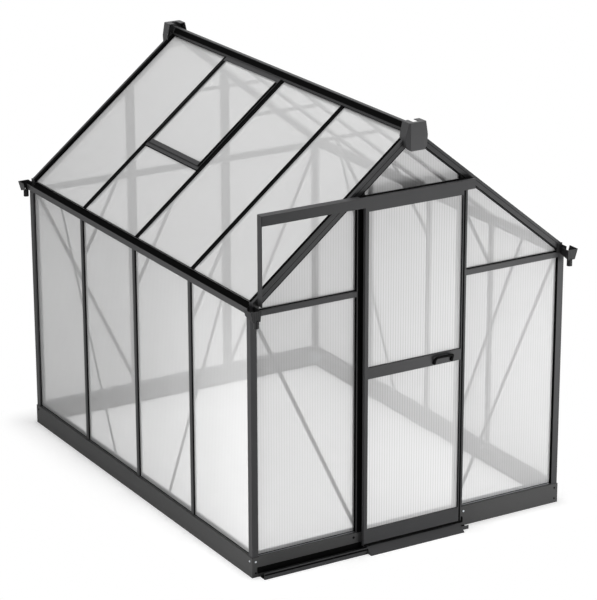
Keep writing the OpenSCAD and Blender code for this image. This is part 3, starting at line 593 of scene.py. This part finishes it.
def under_rafter(x):
    """Height of the rafters' underside at x."""
    return APEX_Z - abs(x) * math.tan(PITCH) - RAFTER_DROP


def upper_corner_x(z):
    """Distance from the middle at which the rafters' underside reaches height z."""
    return (APEX_Z - RAFTER_DROP - z) / math.tan(PITCH)


def mirrored(outline):
    """The outline on the other side of the middle, still counter-clockwise."""
    return [(-a, b) for a, b in outline[::-1]]


x_post, z_low = HALF_X - POST, BASE_TOP + 4 * MM
low_side = box_outline(JAMB_OUT, z_low, x_post, EAVE_BAR[0])
up_side = [(JAMB_OUT, EAVE_BAR[1]), (upper_corner_x(EAVE_BAR[1]), EAVE_BAR[1]),
           (JAMB_OUT, under_rafter(JAMB_OUT))]
under_roof = [(JAMB_IN, under_rafter(JAMB_IN)), (0, under_rafter(0)),
              (-JAMB_IN, under_rafter(JAMB_IN))]
over_door = [(-JAMB_IN, HEADER_TOP), (JAMB_IN, HEADER_TOP)] + under_roof
low_mid_back = box_outline(-JAMB_IN, z_low, JAMB_IN, EAVE_BAR[0])
up_mid_back = [(-JAMB_IN, EAVE_BAR[1]), (JAMB_IN, EAVE_BAR[1])] + under_roof
beside = [low_side, mirrored(low_side), up_side, mirrored(up_side)]
gable_openings = {-1: beside + [over_door], 1: beside + [low_mid_back, up_mid_back]}
print("openings in the front and the back gable:", [len(o) for o in gable_openings.values()])

# %% [markdown]
# ## Seals in the gables
# The seal's foot is narrow here, so only a thin black line shows round each sheet.

# %% Seal the gables
def gable_place(end):
    """Function that puts flat points (x, z) on the outer face of a gable's sheets, d off
    the sheet."""
    y = HALF_Y - GABLE_SET

    def place(p, d):
        return np.stack([p[:, 0], np.full(len(p), MID_Y + end * (y + d)), p[:, 1]], axis=1)
    return place


gable_angle = angle_section(3 * MM, 3.5 * MM, thick=1.2 * MM)
gable_seals = [turned_out(*ring(outline, gable_angle, gable_place(end)))
               for end, outlines in gable_openings.items() for outline in outlines]
piece_of("gable_seals", gable_seals, rubber)

# %% [markdown]
# ## Liners of the upright recesses
# The posts and jambs also have a flat liner on the side of the recess. It shows as a black
# line beside the sheet when the wall is seen at a slant.

# %% Line the upright recesses
liner = bead(14 * MM, 1.4 * MM, 5)
recess_y = HALF_Y - 8.5 * MM        # middle of the recess, in front of the sheet
uprights = [(x_post, -1, z_low, EAVE_BAR[0]), (JAMB_OUT, 1, z_low, EAVE_BAR[0]),
            (JAMB_OUT, 1, EAVE_BAR[1], under_rafter(JAMB_OUT) - 3 * MM)]
liners = [strip(liner, (side * x, MID_Y + end * recess_y, low),
                (side * x, MID_Y + end * recess_y, top), (side * way, 0, 0))
          for side in SIDES for end in SIDES for x, way, low, top in uprights]
piece_of("gable_liners", liners, rubber)

# %% [markdown]
# ## Seals in the side walls
# The long walls and the slopes are divided by the bars into four bays each, so their
# openings are rectangles between one bar and the next. Beside each bar a wall also has a
# rounded lip, which fills the corner between the cap and the sheet.

# %% Seal the side walls
stops = np.concatenate([[MID_Y - HALF_Y + POST], BAR_Y, [MID_Y + HALF_Y - POST]])
gap = np.array([0, 1, 1, 1, 0]) * CAP_W / 2
bays = list(zip((stops + gap)[:-1], (stops - gap)[1:]))


def wall_place(side):
    """Function that puts flat points (y, z) on the outer face of a side wall's sheets, d
    off the sheet."""
    def place(p, d):
        x = side * (HALF_X - SIDE_SET + d)
        return np.stack([np.full(len(p), x), p[:, 0], p[:, 1]], axis=1)
    return place


wall_angle = angle_section(4 * MM, 2.5 * MM, thick=1.2 * MM)
wall_rings = [turned_out(*ring(box_outline(y0, z_low, y1, PLATE_Z), wall_angle,
                               wall_place(side)))
              for side in SIDES for y0, y1 in bays]
lip = bead(7.6 * MM, 5.5 * MM, 7)
lip_y = CAP_W / 2 + 4 * MM          # middle of a lip, from the middle of its bar
lip_x = HALF_X - SIDE_SET
wall_lips = [strip(lip, (side * lip_x, y + way * lip_y, z_low),
                   (side * lip_x, y + way * lip_y, PLATE_Z), (side, 0, 0))
             for side in SIDES for y in BAR_Y for way in SIDES]
piece_of("side_wall_seals", wall_rings + wall_lips, rubber)

# %% [markdown]
# ## Seals in the roof
# A slope's openings are drawn flat, with one axis along the ridge and one up the slope, and
# a small function puts each flat point where it belongs. Under the vent, the opening ends
# at the vent's sill instead of at the ridge.

# %% Rings round the roof's sheets
VENT_SILL = 535 * MM        # from the ridge line, level


def roof_place(side, lift=0.0):
    """Function that puts flat points (y, s), s up the slope, on the upper face of a
    slope's sheets, d off the sheet. A sheet that stands higher has a lift."""
    def place(p, d):
        flat = (np.array([-HALF_X, 0, EAVE_Z]) + p[:, 1:] * UP_SLOPE
                + (d - SIDE_SET + lift) * OFF_SLOPE)
        return (flat + p[:, :1] * np.array([0, 1, 0])) * np.array([-side, 1, 1])
    return place


roof_angle = angle_section(5 * MM, 4 * MM)
sill_s = (HALF_X - VENT_SILL) / math.cos(PITCH)
roof_rings = []
for side in SIDES:
    for bay, (y0, y1) in enumerate(bays):
        under_vent = side < 0 and bay == 2
        top = sill_s - 13 * MM if under_vent else brim_s
        outline = box_outline(y0, BAR_FOOT + 1 * MM, y1, top)
        roof_rings.append(turned_out(*ring(outline, roof_angle, roof_place(side))))
print(len(roof_rings), "openings in the roof")

# %% [markdown]
# ## Seals round the vent
# The vent has a seal of its own, round a sheet that stands a little higher than the others,
# and a flat rubber cover down each side.

# %% Seal the roof and the vent
VENT_RAIL = 25 * MM         # width of the vent frame's members
VENT_PROUD = 4 * MM         # how far the vent's sheet stands above the others
vent_low, vent_high = corners("vent_pane")
# The sheet's lowest x is its upper face's foot, and its highest x is its lower face's head.
vent_s0 = (HALF_X + vent_low[0] - (SIDE_SET - VENT_PROUD) * math.sin(PITCH)) / math.cos(PITCH)
vent_s1 = (HALF_X + vent_high[0] - SIDE_SET * math.sin(PITCH)) / math.cos(PITCH)
vent_outline = box_outline(vent_low[1], vent_s0, vent_high[1], vent_s1)
vent_angle = angle_section(3 * MM, 4 * MM)
roof_rings.append(turned_out(*ring(vent_outline, vent_angle, roof_place(-1, VENT_PROUD))))
piece_of("roof_seals", roof_rings, rubber)
vent_cover = bead(24 * MM, 1 * MM, 5)
vent_covers = [strip(vent_cover, on_roof(vent_s0 - 22 * MM, y, -2 * MM, -1),
                     on_roof(vent_s1 - 4 * MM, y, -2 * MM, -1), off_roof(-1))
               for y in (vent_low[1] - VENT_RAIL / 2, vent_high[1] + VENT_RAIL / 2)]
piece_of("vent_side_covers", vent_covers, rubber)

# %% [markdown]
# ## Ribbons
# A bent strip of rubber or sheet metal is a ribbon: a line with a thickness, carried along
# the building. The right one is the left one mirrored, and a mirror turns a shape inside
# out, so its faces are turned over again.

# %% Ribbons along Y
def ribbon(line, thick):
    """Closed section from an open line of points: the line, then back along its copy moved
    by thick to its left, where left of a point is square to its two neighbours."""
    line = np.asarray(line, float)
    way = np.gradient(line, axis=0)
    way = way / np.linalg.norm(way, axis=1, keepdims=True)
    left = np.stack([-way[:, 1], way[:, 0]], axis=1)
    return np.concatenate([line, (line + thick * left)[::-1]])


def along_y(section, y0, y1):
    """Closed section of (x, z) points carried from y0 to y1: P = (x, y0 or y1, z). A
    counter-clockwise section is turned round first, so that the faces point outwards."""
    x, z = section.T
    area = (x * np.roll(z, -1) - np.roll(x, -1) * z).sum()
    section = section if area < 0 else section[::-1]
    n = len(section)
    i = np.arange(n)
    j = (i + 1) % n
    ends = [np.stack([section[:, 0], np.full(n, y), section[:, 1]], axis=1) for y in (y0, y1)]
    faces = np.stack([i, j, j + n, i + n], axis=1).tolist()
    return np.concatenate(ends), faces + [i[::-1].tolist(), (i + n).tolist()]


def other_side(part):
    """The part mirrored in X, with its faces turned over."""
    points, faces = part
    return points * np.array([-1, 1, 1]), [face[::-1] for face in faces]


print("a ribbon of 3 points has a section of", len(ribbon([(0, 0), (1, 0), (1, 1)], 0.1)))

# %% [markdown]
# ## Painted shade at the eaves
# Where the roof sheets end over the gutter, a black strip starts in the gutter, climbs the
# wall plate and ends under the sheets. It is painted shade: it stands for the shade inside
# the gutter and under the sheets' ends.

# %% Paint the shade at the eaves
gutter_floor_z = PLATE_Z + 11.5 * MM
under_sheet = on_roof(BAR_FOOT - 0.5 * MM, 0, -17 * MM, -1)
gutter_shade_line = [(-HALF_X - 14.3 * MM, gutter_floor_z + 27 * MM),
              (-HALF_X - 11.5 * MM, gutter_floor_z + 1 * MM),
              (-HALF_X - 1 * MM, gutter_floor_z), (-HALF_X - 1 * MM, EAVE_Z - 23.5 * MM),
              (-HALF_X, EAVE_Z - 22.0 * MM), (under_sheet[0], under_sheet[2])]
gutter_shade_half = HALF_Y - POST - 1 * MM
gutter_shade = along_y(ribbon(gutter_shade_line, 1.0 * MM), MID_Y - gutter_shade_half, MID_Y + gutter_shade_half)
piece_of("eave_painted_shade", [gutter_shade, other_side(gutter_shade)], rubber)

# %% [markdown]
# ## Painted shade on the ridge rail
# A flat black ribbon lies on each flank of the ridge rail, over the slot that the vent hangs
# from, and stops just short of the caps at the two ends. It is painted shade: it stands for
# the shade in that slot.

# %% Paint the shade on the ridge's flanks
ridge_top = APEX_Z + 17 * MM
flank_line = [(-24.2 * MM, ridge_top - 29 * MM), (-11.2 * MM, ridge_top - 2.5 * MM)]
flank_half = HALF_Y - 33 * MM
flank = along_y(ribbon(flank_line, 1.2 * MM), MID_Y - flank_half, MID_Y + flank_half)
piece_of("ridge_flank_painted_shade", [flank, other_side(flank)], rubber)

# %% [markdown]
# ## Painted shade at the doorway
# A sliding door can't press on a seal, so the doorway has gaps that lie in shade. Black
# strips stand in them as painted shade: on the jambs in the gap behind the door, over the
# slot between the door's rail and the gable, and on the lower part of the base behind the
# track.

# %% Painted shade on the jambs, over the rail and on the base
rail_high = corners("door_rail")[1]
track_low, track_high = corners("bottom_track")
gable_y = MID_Y - HALF_Y
base_y = corners("base_front")[0][1]
header_z = corners("door_header")[0][2]
jamb_shades = []
for x0, x1 in ((-JAMB_OUT + 5 * MM, -JAMB_IN - 1 * MM), (JAMB_IN + 3 * MM, JAMB_OUT - 7 * MM)):
    middle = (x0 + x1) / 2
    jamb_shades.append(strip(bead(x1 - x0, 5 * MM, 9), (middle, gable_y, BASE_TOP + 1 * MM),
                         (middle, gable_y, header_z + 40 * MM), (0, -1, 0)))
piece_of("jamb_painted_shade", jamb_shades, rubber)
rail_shade_y = gable_y - 14 * MM
rail_shade = strip(bead(26 * MM, 1.5 * MM, 7), (-JAMB_OUT, rail_shade_y, rail_high[2]),
             (rail_high[0], rail_shade_y, rail_high[2]), (0, 0, 1))
piece_of("rail_painted_shade", [rail_shade], rubber)
base_shade_z = 36 * MM
base_painted_shade = strip(bead(34 * MM, 4.5 * MM, 9), (track_low[0] - 14 * MM, base_y, base_shade_z),
                   (JAMB_OUT, base_y, base_shade_z), (0, -1, 0))
piece_of("base_painted_shade", [base_painted_shade], rubber)

# %% [markdown]
# ## The door's own strips
# The door leaf carries a strip down its closing edge, and a black strip along its foot that
# is painted shadow: the shadow under the door, over the threshold. They ride on the door,
# so they slide with it.

# %% Strips on the door's edges
door_low, door_high = corners("door_frame")
front_y = door_low[1]
edge_x, foot_z = door_high[0] - 9.5 * MM, 42 * MM
edge_strip = strip(bead(10 * MM, 1.6 * MM, 7), (edge_x, front_y, 36 * MM),
                   (edge_x, front_y, door_high[2] - 1 * MM), (0, -1, 0))
foot_shadow_strip = strip(bead(12 * MM, 1.6 * MM, 7), (door_low[0] + 1 * MM, front_y, foot_z),
                   (door_high[0] - 1 * MM, front_y, foot_z), (0, -1, 0))
piece_of("door_edge_and_foot_shadow_strips", [edge_strip, foot_shadow_strip], rubber, "door")

# %% [markdown]
# ## Seals round the door's sheets
# The door has two sheets, over and under its middle rail. Each has the same rubber angle
# as in the gables, only thinner, and a liner on the inner side of each stile.

# %% Seal the door's sheets
MID_RAIL = (950 * MM, 1010 * MM)    # lower and upper edge of the door's middle rail
pane_low, pane_high = corners("door_panes")


def door_place(p, d):
    """Flat points (x, z) on the outer face of the door's sheets, d off the sheet."""
    return np.stack([p[:, 0], np.full(len(p), pane_low[1] - d), p[:, 1]], axis=1)


openings = [(pane_low[2], MID_RAIL[0]), (MID_RAIL[1], pane_high[2])]
door_angle = angle_section(2 * MM, 1.5 * MM, thick=0.8 * MM)
door_rings = [turned_out(*ring(box_outline(pane_low[0], low, pane_high[0], high),
                               door_angle, door_place)) for low, high in openings]
door_liner = bead(7 * MM, 1.2 * MM, 5)
liner_y = front_y + 4.2 * MM
door_liners = [strip(door_liner, (x, liner_y, low + 1 * MM), (x, liner_y, high - 1 * MM),
                     (way, 0, 0))
               for x, way in ((pane_low[0], 1), (pane_high[0], -1)) for low, high in openings]
piece_of("door_seals", door_rings + door_liners, rubber, "door")

# %% [markdown]
# ## The track's guide and its painted shade
# A thin aluminium strip stands just behind the track's lip and keeps the foot of the door
# in, up to the doorway. A black bead lies between the two, and another lines the floor of
# the channel. Both are painted shade: the dark groove behind the lip, and the shadow in the
# channel.

# %% Guide of the track, and its painted shade
track_y = track_low[1]
track_ends = (track_low[0] + 0.5 * MM, track_high[0] - 0.5 * MM)
doorway_x = corners("threshold")[0][0]
channel_z = 3.1 * MM        # just above the floor of the channel


def bar_along_x(x0, x1, y0, y1, z0, z1):
    """Bar from x0 to x1 with a rectangular section, y0 to y1 behind the track's lip and z0
    to z1 above the ground."""
    return strip(box_outline(y0, z0, y1, z1), (x0, track_y, 0), (x1, track_y, 0), (0, 0, 1))


guide = bar_along_x(track_ends[0], doorway_x, 3.5 * MM, 6.5 * MM, channel_z, 34 * MM)
piece_of("track_guide", [guide], aluminium)
track_shades = [bar_along_x(track_ends[0], doorway_x, 1.5 * MM, 3.4 * MM, 20.1 * MM, 28 * MM),
         bar_along_x(*track_ends, 7.5 * MM, 45 * MM, channel_z, 5 * MM)]
piece_of("track_painted_shade", track_shades, rubber)

# %% [markdown]
# ## The threshold's plate
# A bent plate covers the ramp and rises over the track almost to the door, so that a
# barrow's wheel rolls in without a jolt. It is another ribbon: a line in the Y-Z plane with
# a thickness, carried along X.

# %% Bend the threshold's plate
ramp_low, ramp_high = corners("threshold")
plate_line = [(ramp_low[1] + 1.5 * MM, 2.6 * MM), (ramp_low[1] + 8 * MM, 7.6 * MM),
              (ramp_high[1] - 5 * MM, 22.6 * MM), (ramp_high[1] + 14 * MM, 34 * MM)]
plate_section = ribbon(plate_line, 1.2 * MM) - np.array([track_y, 0])
plate = strip(plate_section, (ramp_low[0] + 0.5 * MM, track_y, 0),
              (ramp_high[0] - 0.5 * MM, track_y, 0), (0, 0, 1))
piece_of("threshold_plate", [plate], aluminium)

# %% [markdown]
# ## Turning a screw
# A button-head screw is a turned shape: a short outline spun about the screw's axis. Its
# washer and dome are in one outline, and the last ring shrinks to a single point, so the
# top is closed.

# %% The shape of a screw
def screw(place, out, radius=5 * MM, height=3.6 * MM, around=14):
    """Surface of revolution: P(i, a) = place + r_i (cos a u + sin a v) + h_i out, with the
    outline (r, h) of a washer and a dome, a pole on top and a flat face below."""
    place, out = np.asarray(place, float), np.asarray(out, float)
    u = np.cross(out, (0, 0, 1)) if abs(out[2]) < 0.9 else np.array([1.0, 0, 0])
    u = u / np.linalg.norm(u)
    v = np.cross(out, u)
    r = np.array([1.35, 1.35, 1.0, 0.95, 0.75, 0.42]) * radius
    h = np.array([0.0, 0.22, 0.26, 0.62, 0.87, 0.98]) * height
    a = np.linspace(0, 2 * math.pi, around, endpoint=False)
    spin = np.cos(a)[:, None] * u + np.sin(a)[:, None] * v
    rows = place + r[:, None, None] * spin + h[:, None, None] * out
    points = np.concatenate([rows.reshape(-1, 3), [place + height * out]])
    i, k = np.meshgrid(np.arange(len(r) - 1) * around, np.arange(around), indexing="ij")
    n = (k + 1) % around
    walls = np.stack([i + k, i + n, i + around + n, i + around + k], axis=-1).reshape(-1, 4)
    k = np.arange(around)
    last = (len(r) - 1) * around
    top = np.stack([last + k, last + (k + 1) % around, np.full(around, last + around)], axis=1)
    return points, walls.tolist() + top.tolist() + [k[::-1].tolist()]


print("a screw has", len(screw((0, 0, 0), (0, 0, 1))[1]), "faces")

# %% [markdown]
# ## Screws in the base and the eaves
# Two screws hold each corner of the base, and a third its lower edge. Others hold the base
# beside the doorway, and the gutters. Bright ones are zinc plated. Dark ones are painted,
# and the finish of the black plastic comes closest to that paint.

# %% Place the screws
SMALL_HEAD = 4 * MM
base_low, base_high = corners("base_left")[0], corners("base_right")[1]
base_ends = ((-1, base_low[1]), (1, base_high[1]))
corner_x, corner_y = base_high[0] - 21 * MM, 24 * MM      # from the middle, and from the end
high_z, low_z = 85 * MM, 24 * MM
bright, dark = [], []
for end, y in base_ends:
    for side in SIDES:
        group = bright if (side, end) == (-1, -1) else dark
        group.append(screw((side * base_high[0], y - end * corner_y, high_z), (side, 0, 0),
                           SMALL_HEAD))
        group.append(screw((side * corner_x, y, high_z), (0, end, 0), SMALL_HEAD))
dark += [screw((side * corner_x, y, low_z), (0, end, 0), SMALL_HEAD)
         for side in SIDES for end, y in base_ends]
bright.append(screw((JAMB_OUT + 7 * MM, base_low[1], 81 * MM), (0, -1, 0), SMALL_HEAD))
dark.append(screw((-JAMB_OUT - 15 * MM, base_low[1], 86 * MM), (0, -1, 0)))
gutter_x, gutter_z = HALF_X + 0.5 * MM, EAVE_Z - 25 * MM
bright += [screw((side * gutter_x, y, gutter_z), (side, 0, 0), 3.5 * MM)
           for side in SIDES for y in BAR_Y[[0, 2]]]
piece_of("bright_screws", bright, zinc, smooth=50)
piece_of("painted_screws", dark, black_plastic, smooth=50)

# %% [markdown]
# ## A bow handle
# The door is pulled by a black bow with a round grip. It is a tube: a circle carried along
# an arch. The arch is half of a superellipse, which has a long straight grip and tight
# corners, and it leans up a little so that fingers fit behind it. The tube widens at its
# two feet.

# %% The shape of a bow
def bow(middle, reach, out, rise, radius, steps=41, around=14, power=0.22):
    """Tube along an arch: C(t) = middle + reach c^power X + s^power (out, rise) with c and
    s the signed cosine and sine of t, and P = C + r (cos a N + sin a T x N), where T is
    the arch's direction and N is square to its plane. r grows by half at both feet."""
    t = np.linspace(0, math.pi, steps)
    away = np.array([0, -out, rise])
    x = reach * np.sign(np.cos(t)) * np.abs(np.cos(t)) ** power
    lift = np.abs(np.sin(t)) ** power
    lift[[0, -1]] = 0
    line = (np.asarray(middle, float) + x[:, None] * np.array([1.0, 0, 0])
            + lift[:, None] * away)
    way = np.gradient(line, axis=0)
    way = way / np.linalg.norm(way, axis=1, keepdims=True)
    flat = np.cross((1.0, 0, 0), away)
    flat = flat / np.linalg.norm(flat)
    side = np.cross(way, flat)
    r = radius * (1 + 0.5 * np.exp(-lift * np.linalg.norm(away) / (5 * MM)))
    a = np.linspace(0, 2 * math.pi, around, endpoint=False)
    rim = np.cos(a)[None, :, None] * flat + np.sin(a)[None, :, None] * side[:, None, :]
    points = (line[:, None, :] + r[:, None, None] * rim).reshape(-1, 3)
    i, k = np.meshgrid(np.arange(steps - 1) * around, np.arange(around), indexing="ij")
    n = (k + 1) % around
    quads = np.stack([i + k, i + around + k, i + around + n, i + n], axis=-1).reshape(-1, 4)
    k = np.arange(around)
    caps = [k.tolist(), ((steps - 1) * around + k)[::-1].tolist()]
    a, b, c = (points[quads[:, m]] - points.mean(0) for m in range(3))
    if (a * np.cross(b, c)).sum() < 0:
        return points, quads[:, ::-1].tolist() + [cap[::-1] for cap in caps]
    return points, quads.tolist() + caps


print("a bow has", len(bow((0, 0, 0), 50 * MM, 20 * MM, 30 * MM, 7 * MM)[1]), "faces")

# %% [markdown]
# ## The door's handle
# The frame's own handle is a plain stand-in for collisions. The bow replaces it in the
# picture, and has a small round foot plate at each end.

# %% Put the handle on the door
handle_low, handle_high = corners("door_handle")
handle_x = (handle_low[0] + handle_high[0]) / 2
HANDLE_REACH = 53 * MM      # from the handle's middle to the middle of a foot
bow_part = bow((handle_x, front_y + 0.5 * MM, 961 * MM), HANDLE_REACH, out=19 * MM,
               rise=34 * MM, radius=7 * MM)
handle = piece_of("pull_handle", [bow_part], black_plastic, "door", smooth=60)
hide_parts("door_handle")
feet = [screw((handle_x + side * HANDLE_REACH, front_y, 958 * MM), (0, -1, 0),
              radius=4 * MM, height=1.5 * MM) for side in SIDES]
piece_of("handle_feet", feet, plastic, "door", smooth=50)

# %% [markdown]
# ## The studio's world
# The world is white where the camera, a reflection or a clear sheet sees it, and much
# dimmer where it only lights things. That is done with the Light Path node, which says
# what kind of ray is asking.

# %% The world
WORLD_LIGHT = 0.22
world = bpy.data.worlds.new("studio")
world.use_nodes = True
scene.world = world
tree = world.node_tree
tree.nodes.clear()
rays = add(tree, "ShaderNodeLightPath")
seen = add(tree, "ShaderNodeMath", {0: rays.outputs["Is Camera Ray"],
                                    1: rays.outputs["Is Glossy Ray"]}, operation="MAXIMUM")
seen = add(tree, "ShaderNodeMath", {0: seen.outputs[0],
                                    1: rays.outputs["Is Transmission Ray"]},
           operation="MAXIMUM")
level = span(tree, seen.outputs[0], WORLD_LIGHT, 1.0)
sky = add(tree, "ShaderNodeBackground", {"Color": (1, 1, 1, 1), "Strength": level})
tree.links.new(sky.outputs[0], add(tree, "ShaderNodeOutputWorld").inputs["Surface"])
print("the world lights things at", WORLD_LIGHT)

# %% [markdown]
# ## The floor
# Near the building the floor is ordinary matt paint with a little glow, so it keeps a
# shadow. It fades to plain white within a short distance from the base's outline, which is
# worked out as for a box: how far a point lies past it in X and in Y. A ray that only
# carries light from the floor to the building sees the paint alone.

# %% Paint and lay the floor
FADE_REACH, FLOOR_GLOW, FLOOR_HALF = 0.25, 0.36, 60.0
material, tree, output, where = new_material("pale_studio_floor")
past = add(tree, "ShaderNodeVectorMath", {0: where}, operation="ABSOLUTE")
past = add(tree, "ShaderNodeVectorMath",
           {0: past.outputs[0], 1: (base_high[0], base_high[1], 0)}, operation="SUBTRACT")
past = add(tree, "ShaderNodeVectorMath", {0: past.outputs[0], 1: (0, 0, 0)},
           operation="MAXIMUM")
far = add(tree, "ShaderNodeVectorMath", {0: past.outputs[0]}, operation="LENGTH")
fade = add(tree, "ShaderNodeMapRange", {"Value": far.outputs["Value"], "From Min": 0.0,
                                        "From Max": FADE_REACH},
           interpolation_type="SMOOTHSTEP")
rays = add(tree, "ShaderNodeLightPath")
grain = add(tree, "ShaderNodeTexNoise", {"Vector": where, "Scale": 3.0})
tone = blend_colour(tree, grain.outputs["Fac"], linear("#e6e6e6"), linear("#eaeaea"))
paint = add(tree, "ShaderNodeBsdfDiffuse", {"Color": tone})
glow = add(tree, "ShaderNodeEmission", {"Color": (1, 1, 1, 1), "Strength": FLOOR_GLOW})
white = add(tree, "ShaderNodeEmission", {"Color": (1, 1, 1, 1), "Strength": 1.0})
lit = add(tree, "ShaderNodeAddShader", {0: paint.outputs[0], 1: glow.outputs[0]})
near = add(tree, "ShaderNodeMixShader",
           {0: fade.outputs["Result"], 1: lit.outputs[0], 2: white.outputs[0]})
shown = add(tree, "ShaderNodeMixShader",
            {0: rays.outputs["Is Diffuse Ray"], 1: near.outputs[0], 2: paint.outputs[0]})
tree.links.new(shown.outputs[0], output.inputs["Surface"])
floor_mesh = bpy.data.meshes.new("studio_floor")
floor_corners = [(x, y, 0) for x, y in box_outline(-FLOOR_HALF, -FLOOR_HALF,
                                                   FLOOR_HALF, FLOOR_HALF)]
floor_mesh.from_pydata(floor_corners, [], [(0, 1, 2, 3)])
floor_mesh.materials.append(material)
floor = bpy.data.objects.new("studio_floor", floor_mesh)
scene.collection.objects.link(floor)
print("the floor turns white", FADE_REACH, "m from the base")

# %% [markdown]
# ## Lamps
# Three soft lamps light the building: a large one overhead, one low at the front right
# that lights the gable, and a small weak one at the left for the long wall. Light goes
# through many sheets before it comes out, so the limit on clear surfaces in a row is raised.

# %% Hang the lamps
def lamp(name, place, target, size, power):
    """A square area lamp at place that faces target, with its side in metres and its power
    in watts."""
    data = bpy.data.lights.new(name, "AREA")
    data.shape = "SQUARE"
    data.size = size
    data.energy = power
    obj = bpy.data.objects.new(name, data)
    turn = (Vector(target) - Vector(place)).to_track_quat("-Z", "Y").to_matrix().to_4x4()
    obj.matrix_world = Matrix.Translation(place) @ turn
    scene.collection.objects.link(obj)


lamp("top_lamp", (0, 0, 6.5), (0, 0, 0), size=4, power=240)
lamp("front_lamp", (1.7, -3.3, 0.3), (0.3, -1.2, 0.4), size=1.6, power=84)
lamp("left_lamp", (-2.3, -1.5, 1.0), (-1, -1.2, 0.7), size=0.8, power=15)
scene.cycles.transparent_max_bounces = 24
print("a ray may pass", scene.cycles.transparent_max_bounces, "clear surfaces")

# %% [markdown]
# ## Finish
# The view transform is set to Standard, so a colour shows as it was written.

# %% Finish
scene.view_settings.view_transform = "Standard"
